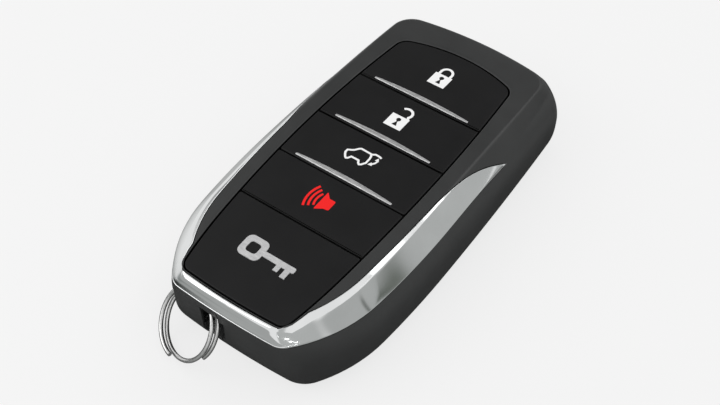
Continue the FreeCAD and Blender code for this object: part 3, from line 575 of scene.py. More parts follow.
# The bend where the inner edge leaves the side for the face is smoothed
near_rise = [n for n in WRAP if abs(outside.side[n][-1, 1] - RISE_Y) < 3.5]
for turn in range(12):
    HIGHS.update({n: (HIGHS[n - 1] + 2 * HIGHS[n] + HIGHS[n + 1]) / 4 for n in near_rise})
HIGHS[TIP] = LOWS[TIP]
HIGHS[COLUMNS - TIP] = LOWS[COLUMNS - TIP]
nose = WRAP[len(WRAP) // 2]
print("band: %.1f mm deep at the nose, %d slices" % (HIGHS[nose] - LOWS[nose], len(WRAP)))

# %% The band itself
# The band stands a little proud of the case, and its underside lies in the case's seat
proud, core = Skin(-0.12, -0.06), Skin(0.8, 0.8)
LOW_ROLL, LOW_SINK, HIGH_ROLL = 0.13, 0.16, 0.16
# The bead's width and height, where it begins at the nose, and over what length it grows
BEAD, BEAD_RISE, BEAD_FROM, BEAD_GROWS = 0.34, 0.11, -37.5, 1.2
# The flat cut's width on each side and its slope, where it begins and ends, and how it grows and fades
FACET_RIGHT, FACET_LEFT, FACET_FALL = 1.4, 0.3, -0.02
FACET_FROM, FACET_GROWS, FACET_END, FACET_FADES = 6.0, 30.0, -38.4, 3.0


def as_share(value):
    """Keeps a number between 0 and 1."""
    return max(0.0, min(1.0, value))


def at_depth(n, along, depth):
    """A point of column n, from the band's outside at depth 0 to its hidden underside at depth 1."""
    return proud.at(n, along) * (1 - depth) + core.at(n, along) * depth


def rolled_edge(n, edge, inward, depth, sink, turns):
    """A quarter turn from the edge of the band to its face, or back."""
    points = []
    for turn in turns:
        a = math.radians(turn)
        points.append(at_depth(n, edge + inward * (1 - math.cos(a)), depth + sink * (1 - math.sin(a))))
    return points


def beaded(n, along, rise):
    """A point of the band with the thin bead that runs along its lower edge at the nose."""
    near, under = proud.at(n, along), core.at(n, along)
    nose = as_share((BEAD_FROM - near[1]) / BEAD_GROWS)
    return near + (near - under) / np.linalg.norm(near - under) * rise * nose


def facet_width(n):
    """The flat cut along the inner edge: nothing at the tips, widest before the nose corners."""
    x, y = outside.at(n, HIGHS[n])[:2]
    grow, fade = as_share((FACET_FROM - y) / FACET_GROWS), as_share((y - FACET_END) / FACET_FADES)
    widest = FACET_RIGHT if x > 0 else FACET_LEFT
    return min(0.02 + widest * grow * fade, 0.4 * (HIGHS[n] - LOWS[n]))


def slice_of(n):
    """One closed slice: lower roll, bead, face, facet, upper roll, and back along the underside."""
    low, high = LOWS[n], HIGHS[n]
    # Near the tips, where the band is narrow, each part takes at most a share of its width
    roll = min(LOW_ROLL, 0.3 * (high - low))
    bead = min(BEAD, 0.2 * (high - low))
    soft = min(HIGH_ROLL, 0.2 * (high - low))
    facet = facet_width(n)
    crease, fall = high - soft - facet, FACET_FALL * facet
    after_bead = low + roll + bead
    points = rolled_edge(n, low, roll, 0.0, LOW_SINK, (0, 30, 60, 90))
    for share in np.linspace(0.1, 1, 10):
        points.append(beaded(n, low + roll + bead * share, BEAD_RISE * math.sin(math.pi * share)))
    for share in np.linspace(0, 1, 20)[1:-1]:
        points.append(proud.at(n, after_bead + (crease - low - roll - bead) * share))
    edge = at_depth(n, high - soft, fall)
    points += [proud.at(n, crease) * (1 - share) + edge * share for share in (0.0, 0.03, 0.5, 0.97)]
    points += rolled_edge(n, high, -soft, fall, soft, (90, 75, 60, 45, 30, 15, 0))
    points += [core.at(n, high + (low - high) * share) for share in np.linspace(0, 1, 6)]
    return points


band = grid_solid("bright_band", [slice_of(n) for n in WRAP], ends="shrunk", sharp_angle=50.0)
band.data.materials.append(CHROME)
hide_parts("chrome_trim")
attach(band, "case")
print("bright band:", len(band.data.polygons), "faces")

# %% [markdown]
# ## The case frame
# The frame is the ring of plastic between the part line at the bottom and the opening for the
# buttons. A solid case with a pocket would do from outside, but this one has to hold the works, so
# its rows go up the outside, over the rim and back down inside. It uses the same columns as the
# band. Where the band lies, the skin steps down into a seat and comes up again at the band's far
# edge, with a hair of clearance, which shows as a fine dark line.

# %% Rows of the frame, from the part line up, over, and back down inside
# The clearance round the band, and how far down the wall of the opening goes
SEAM, LEDGE_Z = 0.12, 14.2
# The groove at the part line: how deep it is, and how far up it goes
GROOVE_IN, GROOVE_UP = 0.12, 0.05


def frame_column(n):
    """Points from the part line up to the opening. They step down under the band."""
    start = outside.along_at_height(n, PART_LINE + GROOVE_UP)
    low = LOWS.get(n, outside.along_at_height(n, TIP_Z))
    high = HIGHS.get(n, low)
    in_band = n in LOWS and high - low > 0.02
    gap = SEAM if in_band else 0.0
    seat = core if in_band else outside
    points = [foot_points[n]]
    points += [outside.at(n, start + (low - gap - start) * share) for share in np.linspace(0, 1, 20)]
    points += [seat.at(n, low - gap + (high - low + 2 * gap) * share) for share in np.linspace(0, 1, 5)]
    full = outside.reach(n)
    plan = [*np.linspace(low, -0.6, 12), *np.linspace(-0.5, 0.5, 9), *np.linspace(0.6, full, 7)]
    floor_at = min(high + gap, full)
    points += [outside.at(n, max(min(along, full), floor_at)) for along in plan]
    return points


chamfer = Skin(GROOVE_IN, 0.0)
foot_points = [chamfer.at(n, chamfer.along_at_height(n, PART_LINE)) for n in range(COLUMNS)]
columns = [frame_column(n) for n in range(COLUMNS)]
rows = [[columns[n][k] for n in range(COLUMNS)] for k in range(len(columns[0]))]
for turn in (18.0, 36.0, 54.0, 72.0, 90.0):
    a = math.radians(turn)
    flat = outline(PAD, -(PAD_GAP + EDGE * (1 - math.sin(a))))
    rows.append(np.column_stack([flat, crown(flat[:, 1]) - EDGE * (1 - math.cos(a))]))
# Inside: down the wall of the opening, out under the roof, and down the wall of the case
rows.append(level_row(PAD, -PAD_GAP, LEDGE_Z))
rows.append(level_row(plan_at(2.2)[0], 1.9, LEDGE_Z))
rows.append(level_row(BODY, 1.5, WIDEST))
rows.append(level_row(BODY, 1.9, PART_LINE))
shell = grid_solid("case_shell", rows, ends="joined")
print("case frame before its cuts:", len(shell.data.polygons), "faces")

# %% Room for the key head and for the swinging ring
# The case ends at this x, and the head begins a fifth of a millimetre beyond
CORNER_X = -1.8
HEAD_ROOM = (-40, -60, -5), (CORNER_X, -27.8, 13.4)


def corner_cut(radius, front):
    """What lies outside a rounded upright corner, where the front face meets the seam of the head."""
    x, y = CORNER_X + radius, front + radius
    angles = np.linspace(0, math.pi / 2, 10)
    curve = [(x - radius * math.cos(a), y - radius * math.sin(a)) for a in angles]
    return [(-3.0, -60.0), (-3.0, y)] + curve + [(x, -60.0)]


# The corner is cut back where the ring swings past it, and softened below
carve(shell, tool_block("head_room", *HEAD_ROOM))
carve(shell, tool_prism("swing_room", corner_cut(2.0, -39.2), 2, 5.4, 9.8))
carve(shell, tool_prism("soft_corner", corner_cut(0.6, -38.9), 2, -5.0, 5.5))
shell.data.materials.append(CASE)
shell.data.materials.append(PAINTED_GAP_SHADE)
# The wall of the opening is painted near black: painted shade for the deep gap round the pad
in_painted_gap = inside_plan(PAD, -0.45)
for face in shell.data.polygons:
    x, y, z = np.array(face.center) / MM
    if in_painted_gap((x, y)) and z < crown(y) - EDGE * 0.8:
        face.material_index = 1
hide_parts("case_frame")
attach(shell, "case")
print("case frame:", len(shell.data.polygons), "faces")

# %% [markdown]
# ## The back cover
# Below the part line lies a shallow dish. Its bottom is flat, so that the key rests on it. It could
# be sliced off a finished case, but stacked from the same plans its edge has the curve of the case
# from the start. A fine groove parts the two. A window shows the thumb of the release slide.

# %% Back cover
# Rows from the middle of the floor outwards, up the side, over the rim and down inside it
STEP_PART = PART_LINE / WIDEST
dish = [level_row(FOOT, 0.0, 0.0) * (1 - inset / 20.0) for inset in (16.0, 9.0, 4.0, 1.5, 0.5)]
for step in (np.arange(15) / 14.0) ** 2 * (STEP_PART - 0.007):
    form, level = plan_at(step)
    dish.append(level_row(form, 0.0, level))
dish.append(level_row(plan_at(STEP_PART)[0], GROOVE_IN, PART_LINE))
dish.append(level_row(BODY, 2.2, PART_LINE))
dish.append(level_row(BODY, 2.3, 1.4))
cover = grid_solid("cover_shell", dish)
carve(cover, tool_block("head_room", *HEAD_ROOM))
carve(cover, tool_prism("soft_corner", corner_cut(0.6, -38.3), 2, -5.0, 5.5))
carve(cover, tool_block("slide_window", (1.1, -33.2, -1.0), (7.9, -29.8, 5.0)))
COVER = moulded("cover plastic", (0.029, 0.030, 0.030), (0.035, 0.036, 0.036), 0.47, gloss=0.4)
cover.data.materials.append(COVER)
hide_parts("back_cover")
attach(cover, "case")
print("back cover:", len(cover.data.polygons), "faces")

# %% [markdown]
# ## The head of the mechanical key
# The spare key hides in the corner of the case, so its head has to be a piece of the same skin. It
# could be modelled beside the case, but cut out of the same closed form it fits by itself. Then
# the way of the ring is cut: a slot at the seam, a tunnel behind a post, and a mouth at the corner.
# A low cheek is left standing behind a groove, so that nothing shows through below the ring.

# %% Key head
HEAD_TOP = 13.3
TOP_STEP = 2 - (SHOULDER_AT - HEAD_TOP) / (SHOULDER_AT - WIDEST)
solid = []
for step in np.concatenate([(np.arange(16) / 16.0) ** 2, 1 + np.arange(12) / 11.2]):
    form, level = plan_at(step)
    if level < HEAD_TOP:
        solid.append(level_row(form, 0.0, level))
solid.append(level_row(plan_at(TOP_STEP)[0], 0.0, HEAD_TOP))
head = grid_solid("head_shell", solid)
carve(head, tool_block("corner", (-40, -60, -5), (-2.0, -28.0, 20.0)), "INTERSECT")

# %% The way of the ring through the head
# The slot, seen from the side: it starts above the cheek and ends at the back of the tunnel
CHEEK_Z, BACK_Y = 5.2, -33.2
SLOT = [(-60, CHEEK_Z), (-60, 10.3), (-39.3, 10.3), (-38.8, 10.9), (-38.0, 11.9), (BACK_Y, 11.9),
        (BACK_Y, CHEEK_Z)]
GROOVE = [(-60, -5), (-60, CHEEK_Z + 0.1), (-37.4, CHEEK_Z + 0.1), (-37.4, -5)]
# The tunnel, seen from above, with the post at its front, and its floor and roof, seen from the front
WAY = [(-1, -38.25), (-6, -38.25), (-6.8, -37.45), (-12.3, -37.45), (-13.1, -38.25), (-13.1, -60),
       (-40, -60), (-40, BACK_Y), (-1, BACK_Y)]
BORE = [(-1, CHEEK_Z), (-1, 11.9), (-9.9, 11.9), (-14.2, 7.6), (-40, 7.6), (-40, 3.0), (-8, 3.0),
        (-6.5, CHEEK_Z)]
carve(head, tool_prism("low_groove", GROOVE, 0, -6.0, -3.1))
carve(head, tool_prism("slot", SLOT, 0, -6.0, -1.0))
way = tool_prism("way", WAY, 2, 0.0, 30.0)
carve(way, tool_prism("bore", BORE, 1, -60.0, 0.0), "INTERSECT")
carve(head, way)
carve(head, tool_block("tang", (-15.6, -35.0, 3.5), (-9.0, -27.0, 5.9)))
HEAD = moulded("head plastic", (0.028, 0.029, 0.029), (0.034, 0.035, 0.035), 0.42, gloss=0.4)
head.data.materials.append(HEAD)
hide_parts("key_head")
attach(head, "key")
print("key head:", len(head.data.polygons), "faces")

# %% [markdown]
# ## Buttons
# The buttons are one bowed pad, parted along its seams. Each plate is drawn as a loop, walled down
# to its foot, and rolled over at the top edge. A bevel modifier would do for a flat plate. Here the
# top follows the bow of the face, so it is sliced across, and its rolled edge is drawn at the bow's
# height. The rolled edge is what draws the thin light line round each button.


# %% Cutting a band out of the pad's plan
def clipped(loop, y, keep_above):
    """The part of a loop on one side of a line across the key."""
    out = []
    for n in range(len(loop)):
        one, two = loop[n], loop[(n + 1) % len(loop)]
        inside = (one[1] >= y) == keep_above
        if inside:
            out.append(one)
        if inside != ((two[1] >= y) == keep_above):
            share = (y - one[1]) / (two[1] - one[1])
            out.append(one + (two - one) * share)
    return out


def rounded(loop, radius, steps=5):
    """Turns each sharp corner of a loop into a short curve."""
    out = []
    count = len(loop)
    for n in range(count):
        before, here, after = np.array(loop[n - 1]), np.array(loop[n]), np.array(loop[(n + 1) % count])
        a, b = before - here, after - here
        la, lb = np.linalg.norm(a), np.linalg.norm(b)
        if la < 1e-9 or lb < 1e-9:
            continue
        turn = math.pi - math.acos(max(-1, min(1, float(a @ b) / (la * lb))))
        if turn < math.radians(25):
            out.append(here)
            continue
        reach = min(radius * math.tan(turn / 2), 0.45 * la, 0.45 * lb)
        one, two = here + a / la * reach, here + b / lb * reach
        for s in np.linspace(0, 1, steps):
            out.append(one * (1 - s) ** 2 + here * 2 * s * (1 - s) + two * s ** 2)
    return np.array(out)


def pulled_in(loop, inset):
    """The same loop, drawn in by a small distance."""
    before, after = np.roll(loop, 1, axis=0), np.roll(loop, -1, axis=0)
    line = after - before
    line = line / np.maximum(np.linalg.norm(line, axis=1), 1e-9)[:, None]
    area = np.sum(loop[:, 0] * after[:, 1] - after[:, 0] * loop[:, 1])
    side = 1.0 if area > 0 else -1.0
    return loop + inset * side * np.stack([-line[:, 1], line[:, 0]], -1)


# %% A plate with a rolled edge and a bowed top
def plate(name, loop, foot, sink, roll, slices=1.2, dome=0.0, steps=5):
    """An upright wall and a rolled edge under a top that is sliced across, then bowed and domed."""
    bm = bmesh.new()
    rows = [np.column_stack([loop, np.full(len(loop), foot)])]
    for n in range(steps + 1):
        a = math.pi / 2 * n / steps
        flat = pulled_in(loop, roll * (1 - math.cos(a))) if n else loop
        rows.append(np.column_stack([flat, crown(flat[:, 1], sink) - roll * (1 - math.sin(a))]))
    lines = joined_rows(bm, rows)
    bm.faces.new(lines[0][::-1])
    faces = [bm.faces.new(lines[-1])]
    y0, y1 = loop[:, 1].min(), loop[:, 1].max()
    middle, half = (y0 + y1) / 2, (y1 - y0) / 2
    for y in np.arange(y0 + slices, y1 - 0.4 * slices, slices):
        edges = list({edge for face in faces for edge in face.edges})
        verts = list({vert for face in faces for vert in face.verts})
        cut = bmesh.ops.bisect_plane(bm, geom=faces + edges + verts, plane_co=(0, y * MM, 0),
                                     plane_no=(0, 1, 0))
        faces = [item for item in cut["geom"] if isinstance(item, bmesh.types.BMFace)]
    for vert in {vert for face in faces for vert in face.verts}:
        y = vert.co.y / MM
        vert.co.z = (float(crown(y, sink)) + dome * (1 - ((y - middle) / half) ** 2)) * MM
    return weighted(finished(name, bm, 50.0))


# %% The five plates of the pad
SEAMS = [40.0, 16.56, 4.09, -7.7, -19.16, -45.0]
NAMES = ["lock", "unlock", "hatch", "panic", "badge"]
# Half a seam's width, the plates' corner and rolled edge, the height of their foot, and how far
# their tops lie below the crown
HALF_SEAM, PLATE_CORNER, PLATE_ROLL, PLATE_FOOT, PAD_SINK = 0.15, 0.35, 0.22, 13.55, 0.05
PLATES = {}
for kind, far, near in zip(NAMES, SEAMS, SEAMS[1:]):
    loop = clipped(outline(PAD), near + HALF_SEAM, True)
    loop = rounded(clipped(loop, far - HALF_SEAM, False), PLATE_CORNER)
    fixed = kind == "badge"
    node = "badge_plate" if fixed else "button_" + kind
    item = plate("nose_plate" if fixed else kind + "_key_top", loop, PLATE_FOOT, PAD_SINK, PLATE_ROLL)
    item.data.materials.append(BUTTON)
    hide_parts(node)
    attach(item, "case" if fixed else kind + "_button")
    PLATES[kind] = item
print("plates:", {kind: len(item.data.polygons) for kind, item in PLATES.items()})

# %% [markdown]
# ## Silver bars
# Beside three of the seams lies a thin metal bar, straight towards the seam and bowed on its other
# side. It stands a little over a tenth of a millimetre above its button, with a domed top, and is
# brushed along its length. The helper that made the plates makes it too, with finer slices.

# %% Bars
# Half a bar's length, its width at the ends, how much wider its middle is, and its gap to the seam
BAR_HALF, BAR_ENDS, BAR_BULGE, BAR_GAP = 10.2, 0.45, 0.55, 0.35
BAR_CORNER, BAR_SINK, BAR_ROLL, BAR_DOME = 0.15, -0.07, 0.12, 0.05
for kind, seam in zip(NAMES, SEAMS[1:4]):
    low = seam + HALF_SEAM + BAR_GAP
    bow = []
    for s in np.linspace(0, 1, 41):
        rise = BAR_BULGE * (1 - (2 * s - 1) ** 2)
        bow.append(np.array([BAR_HALF - 2 * BAR_HALF * s, low + BAR_ENDS + rise]))
    straight = [np.array([-BAR_HALF, low]), np.array([BAR_HALF, low])]
    loop = rounded(bow + straight, BAR_CORNER)
    foot = 16.2 if kind == "lock" else 16.4
    bar = plate(kind + "_bar", loop, foot, BAR_SINK, BAR_ROLL, slices=0.3, dome=BAR_DOME)
    bar.data.materials.append(BAR)
    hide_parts("bar_" + kind)
    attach(bar, kind + "_button")
print("three bars, each", len(bar.data.polygons), "faces")

# %% [markdown]
# ## Printed signs
# A sign is a very thin printed layer. It could be a picture laid on the plastic, but a drawn form
# stays sharp at any distance and is a piece that can be hidden. Each is a flat drawing in
# millimetres, filled, given a little body and laid on the bowed face, with its root sunk in the
# plastic. Lines of a drawing are made from a path with a width. The nose carries a plain key sign in
# satin silver.


# %% Drawing tools for the signs
def stroke(points, width, closed=False):
    """A path with a width, as one loop, or as an outer loop and a hole where it is closed."""
    pts = [np.array(p, float) for p in points]
    count = len(pts)
    left, right = [], []
    for n in range(count):
        before = pts[n - 1] if (closed or n > 0) else pts[n]
        after = pts[(n + 1) % count] if (closed or n < count - 1) else pts[n]
        one, two = pts[n] - before, after - pts[n]
        one = one / np.linalg.norm(one) if np.linalg.norm(one) > 1e-9 else two / np.linalg.norm(two)
        two = two / np.linalg.norm(two) if np.linalg.norm(two) > 1e-9 else one
        mitre = one + two
        mitre = mitre / np.linalg.norm(mitre)
        normal = np.array([-mitre[1], mitre[0]])
        reach = width / 2 / max(float(normal @ np.array([-one[1], one[0]])), 0.5)
        left.append(pts[n] + normal * reach)
        right.append(pts[n] - normal * reach)
    if closed:
        return [left, right]
    return [left + right[::-1]]


def curve(centre, radius, start, end, count, tall=1.0):
    """Points of an arc. It is taller than round where tall is more than 1."""
    x, y = centre
    angles = [math.radians(start + (end - start) * n / (count - 1)) for n in range(count)]
    return [(x + radius * math.cos(a), y + radius * tall * math.sin(a)) for a in angles]


SIGN_ROOT = 0.03


def sign(name, shapes, finish, body, lift=0.035):
    """Lays filled loops on the bowed face. Each shape is an outer loop with any holes in it."""
    bm = bmesh.new()
    for shape in shapes:
        loops = [[Vector((float(x), float(y), 0.0)) for x, y in loop] for loop in shape]
        flat = [point for loop in loops for point in loop]
        triangles = tessellate_polygon(loops)
        levels = [float(crown(p.y, PAD_SINK)) for p in flat]
        upper = [bm.verts.new(Vector((p.x, p.y, z + lift)) * MM) for p, z in zip(flat, levels)]
        lower = [bm.verts.new(Vector((p.x, p.y, z - SIGN_ROOT)) * MM) for p, z in zip(flat, levels)]
        for a, b, c in triangles:
            if len({a, b, c}) == 3:
                bm.faces.new((upper[a], upper[b], upper[c]))
                bm.faces.new((lower[c], lower[b], lower[a]))
        first = 0
        for loop in loops:
            for n in range(len(loop)):
                one, two = first + n, first + (n + 1) % len(loop)
                bm.faces.new((upper[one], upper[two], lower[two], lower[one]))
            first += len(loop)
    item = finished(name, bm, 30.0)
    item.data.materials.append(finish)
    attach(item, body)
    print(name, "has", len(item.data.polygons), "faces")


# %% Padlocks
def padlock(x, y, open_arm):
    """A padlock whose body's lower left corner is at x and y."""
    wide, high = 3.6, 3.3
    body = [(x, y), (x + wide, y), (x + wide, y + high), (x, y + high)]
    mid, foot = x + wide / 2 + 0.05, y + high - 0.05
    hole = curve((mid, y + 2.33), 0.46, -60, 240, 22)
    hole += [(mid - 0.10, y + 1.72), (mid - 0.52, y + 0.66)]
    hole += [(mid + 0.52, y + 0.66), (mid + 0.10, y + 1.72)]
    if open_arm:
        arm = [(x + wide - 0.45, foot)] + curve((mid + 0.22, y + 4.45), 1.2, -38, 140, 22)
    else:
        round_part = curve((mid, y + 3.95), 1.17, 178, 2, 26, tall=1.12)
        arm = [(mid - 1.17, foot)] + round_part + [(mid + 1.17, foot)]
    return [[body, hole], stroke(arm, 0.5)]


sign("sign_lock", padlock(-1.87, 22.15, False), WHITE, "lock_button")
sign("sign_unlock", padlock(-2.08, 8.15, True), WHITE, "unlock_button")

# %% Rear hatch and horn
CAR = [(-3.3, -1.0), (-3.32, -1.6), (-3.1, -2.02), (-2.68, -2.6), (-2.4, -2.78), (-2.12, -2.6),
       (-1.78, -1.97), (-0.25, -1.97), (0.05, -2.5), (0.36, -2.74), (0.72, -2.5), (0.95, -2.08),
       (1.16, -1.8), (1.15, -0.6), (1.02, 0.05), (0.75, 0.52), (-1.4, 0.6), (-1.75, 0.35),
       (-2.25, -0.35), (-2.6, -0.62)]
HATCH = [(0.8, 0.48), (1.1, 0.62), (1.45, 0.88), (2.3, 0.84), (2.8, 0.66)]
SWING = [(2.50, -0.05), (2.62, -0.45), (2.50, -0.95), (2.2, -1.35), (1.98, -1.55)]
HEADS = [[(2.43, 0.42), (2.1, -0.35), (2.9, -0.28)], [(1.55, -1.85), (1.95, -1.05), (2.42, -1.75)]]
shapes = [stroke(CAR, 0.38, True), stroke(HATCH, 0.38), stroke(SWING, 0.34)] + [[head] for head in HEADS]
sign("sign_hatch", shapes, WHITE, "hatch_button")
HORN = [(0.0, -11.05), (0.95, -12.02), (2.12, -12.02), (2.27, -12.2), (2.27, -14.12), (2.12, -14.3),
        (1.3, -14.4), (0.0, -15.28), (-0.1, -15.1), (-0.1, -11.2)]
waves = [stroke(curve((2.4, -13.2), 3.3, 154.5, 206.5, 16), 0.40),
         stroke(curve((2.7, -13.2), 4.45, 153, 207.5, 18), 0.42),
         stroke(curve((2.9, -13.2), 5.5, 152.5, 207.5, 20), 0.44)]
sign("sign_horn", [[HORN]] + waves, RED, "panic_button")

# %% The key sign on the nose
def box_loop(x0, x1, y0, y1, radius):
    """A box with rounded corners, as one loop."""
    corners = [np.array(point) for point in ((x0, y0), (x1, y0), (x1, y1), (x0, y1))]
    return [tuple(point) for point in rounded(corners, radius, 8)]


bow = box_loop(-5.3, -0.9, -29.8, -25.4, 1.3)
eye = box_loop(-4.2, -2.0, -28.7, -26.5, 0.7)
shaft = [(-1.2, -28.15), (2.2, -28.15), (2.2, -29.35), (3.1, -29.35), (3.1, -28.15), (3.9, -28.15),
         (3.9, -29.8), (4.9, -29.8), (4.9, -28.15), (5.3, -28.15), (5.5, -27.95), (5.5, -27.25),
         (5.3, -27.05), (-1.2, -27.05)]
sign("sign_key", [[bow, eye], [shaft]], BADGE, "case", lift=0.16)

# %% [markdown]
# ## The split ring
# A split ring is one wire wound nearly twice. It could be two plain rings, but then it wouldn't show
# its two ends. A spiral follows a rule, so Geometry Nodes are the right tool: a spiral curve with a
# number of turns and a height, and a round profile drawn along it. The sizes are the tree's inputs,
# so the same tree winds any ring or spring.


# %% A tree that winds wire
def winding_tree():
    """A spiral with a round profile drawn along it, made real and given its finish."""
    tree = bpy.data.node_groups.new("wound wire", "GeometryNodeTree")
    tree.interface.new_socket("Geometry", in_out="OUTPUT", socket_type="NodeSocketGeometry")
    for name in ("Turns", "Radius", "Length", "Wire Radius"):
        tree.interface.new_socket(name, in_out="INPUT", socket_type="NodeSocketFloat")
    for name in ("Steps", "Sides"):
        tree.interface.new_socket(name, in_out="INPUT", socket_type="NodeSocketInt")
    tree.interface.new_socket("Finish", in_out="INPUT", socket_type="NodeSocketMaterial")
    given, out = tree.nodes.new("NodeGroupInput"), tree.nodes.new("NodeGroupOutput")
    spiral = tree.nodes.new("GeometryNodeCurveSpiral")
    profile = tree.nodes.new("GeometryNodeCurvePrimitiveCircle")
    sweep = tree.nodes.new("GeometryNodeCurveToMesh")
    smooth = tree.nodes.new("GeometryNodeSetShadeSmooth")
    realize = tree.nodes.new("GeometryNodeRealizeInstances")
    finish = tree.nodes.new("GeometryNodeSetMaterial")
    spiral.inputs["Reverse"].default_value = True
    sweep.inputs["Fill Caps"].default_value = True
    wires = [(given, "Steps", spiral, "Resolution"), (given, "Turns", spiral, "Rotations"),
             (given, "Radius", spiral, "Start Radius"), (given, "Radius", spiral, "End Radius"),
             (given, "Length", spiral, "Height"), (given, "Sides", profile, "Resolution"),
             (given, "Wire Radius", profile, "Radius"), (spiral, "Curve", sweep, "Curve"),
             (profile, "Curve", sweep, "Profile Curve"), (sweep, "Mesh", smooth, "Geometry"),
             (smooth, "Geometry", realize, "Geometry"), (realize, "Geometry", finish, "Geometry"),
             (given, "Finish", finish, "Material"), (finish, "Geometry", out, "Geometry")]
    for source, outlet, target, inlet in wires:
        tree.links.new(source.outputs[outlet], target.inputs[inlet])
    return tree


WINDING = winding_tree()
print("the winding tree has", len(WINDING.nodes), "nodes")


def wound(name, place, finish, **sizes):
    """Winds a wire, turns it into a plain mesh and puts it in place by a matrix."""
    item = bpy.data.objects.new(name, bpy.data.meshes.new(name))
    bpy.context.collection.objects.link(item)
    step = item.modifiers.new("winding", "NODES")
    step.node_group = WINDING
    values = dict(sizes, Finish=finish)
    for socket in WINDING.interface.items_tree:
        if socket.in_out == "INPUT":
            step[socket.identifier] = values[socket.name]
    settled(item)
    item.data.transform(place)
    bm = bmesh.new()
    bm.from_mesh(item.data)
    bmesh.ops.remove_doubles(bm, verts=bm.verts, dist=1e-7)
    bmesh.ops.recalc_face_normals(bm, faces=bm.faces)
    bm.to_mesh(item.data)
    bm.free()
    item.data.set_sharp_from_angle(angle=math.radians(50))
    return item


# %% Wind the ring, leaning from its slot to the table
# The way the ring's axis points: turned about the upright, and raised from the table
TURN, RISE = math.radians(66.3), math.radians(38.1)
axis = np.array([-math.cos(TURN) * math.cos(RISE), -math.sin(TURN) * math.cos(RISE), math.sin(RISE)])
level_line = np.cross(axis, [0, 0, 1.0])
level_line = level_line / np.linalg.norm(level_line)
level_line = level_line if level_line[0] > 0 else -level_line
slope_line = np.cross(level_line, axis)
slope_line = slope_line if slope_line[2] > 0 else -slope_line
# The wire's turns and how far each climbs, and where the middle of its length lies round the ring
TURNS, PITCH, WIRE_MIDDLE = 1.84, 1.25, math.radians(311)
RING_R, WIRE_R = 6.3, 0.4
RING_CENTRE = np.array([-7.93, -40.0, 5.75])
first = WIRE_MIDDLE - math.pi * TURNS
start = RING_CENTRE + axis * PITCH * (-math.pi * TURNS) / (2 * math.pi)
x_line = level_line * math.cos(first) + slope_line * math.sin(first)
y_line = -level_line * math.sin(first) + slope_line * math.cos(first)
place = Matrix([[x_line[k], y_line[k], axis[k], start[k] * MM] for k in range(3)] + [[0, 0, 0, 1]])
sizes = {"Turns": TURNS, "Radius": RING_R * MM, "Length": PITCH * TURNS * MM, "Wire Radius": WIRE_R * MM}
ring = wound("key_ring", place, STEEL, Steps=96, Sides=20, **sizes)
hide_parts("split_ring")
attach(ring, "ring")
print("ring:", len(ring.data.polygons), "faces", [round(v / MM, 1) for v in ring.bound_box[0]])

# %% [markdown]
# ## Pieces that keep their built shape
# Inside the case the board, the cell and the blade are already right as they were built. They could
# be drawn again with finer edges, but nobody sees them until the key is taken apart. So they only
# get their finishes: green laminate, bright steel, dark chips, copper windings.

# %% Finishes of the inner pieces
BOARD = moulded("board laminate", (0.006, 0.055, 0.022), (0.010, 0.085, 0.032), 0.35, patch=700.0)
CHIP = moulded("chip plastic", (0.010, 0.010, 0.011), (0.018, 0.018, 0.019), 0.5, patch=2500.0)
CARRIER = moulded("carrier plastic", (0.05, 0.05, 0.052), (0.065, 0.065, 0.067), 0.5)
CELL = metal("cell steel", (0.60, 0.60, 0.60), (0.74, 0.74, 0.73), 0.24, grain=2500.0)
CONTACT = metal("contact metal", (0.62, 0.56, 0.42), (0.76, 0.70, 0.56), 0.25, stretch=(1, 0.06, 1))
SWITCH = metal("switch metal", (0.50, 0.50, 0.51), (0.66, 0.66, 0.66), 0.30, grain=6000.0)
COIL = metal("coil winding", (0.36, 0.14, 0.05), (0.62, 0.29, 0.12), 0.35, stretch=(1, 0.05, 1),
             grain=12000.0)
SPRING = metal("spring steel", (0.48, 0.48, 0.49), (0.66, 0.66, 0.66), 0.25)
SLIDE = moulded("slide plastic", (0.030, 0.031, 0.032), (0.040, 0.041, 0.042), 0.5)
FINISHES = {
    "keypad_membrane": RUBBER, "circuit_board": BOARD, "control_chip": CHIP, "radio_chip": CHIP,
    "crystal_can": SWITCH, "inner_carrier": CARRIER, "coin_cell": CELL, "positive_clip": CONTACT,
    "negative_contact": CONTACT, "key_blade": BLADE, "key_pin": SWITCH, "release_slide": SLIDE,
    "release_spring": SPRING, "antenna_x": COIL, "antenna_y": COIL, "antenna_z": COIL,
    "switch_lock": SWITCH, "switch_unlock": SWITCH, "switch_hatch": SWITCH, "switch_panic": SWITCH,
}
for node, finish in FINISHES.items():
    item = frame["nodes"][node]
    item.data.materials.clear()
    item.data.materials.append(finish)
print("finishes on", len(FINISHES), "built pieces")

# %% [markdown]
# ## Studio
# The key lies on pale paper under two large soft lamps and four small ones, which make the sparks at
# the corner of the nose. Bright metal shows only what stands around it. A picture of a room could
# stand there, but plain cards are easier to move, so the studio has grey and dark cards with soft
# edges. Only reflections see them: they draw the dark lines in the plating, and keep the top of the
# pad a deep black.


# %% Floor and sky
def worked_out(tree, how, *values):
    """Works out one value from others, which are numbers or the outlets of nodes."""
    node = tree.nodes.new("ShaderNodeMath")
    node.operation = how
    for value, socket in zip(values, node.inputs):
        if isinstance(value, float):
            socket.default_value = value
        else:
            tree.links.new(value, socket)
    return node.outputs["Value"]


def seen_directly(tree):
    """1 for the rays that the camera or a shiny surface sends out, and 0 for the rest."""
    path = tree.nodes.new("ShaderNodeLightPath")
    return worked_out(tree, "MAXIMUM", path.outputs["Is Camera Ray"], path.outputs["Is Glossy Ray"])


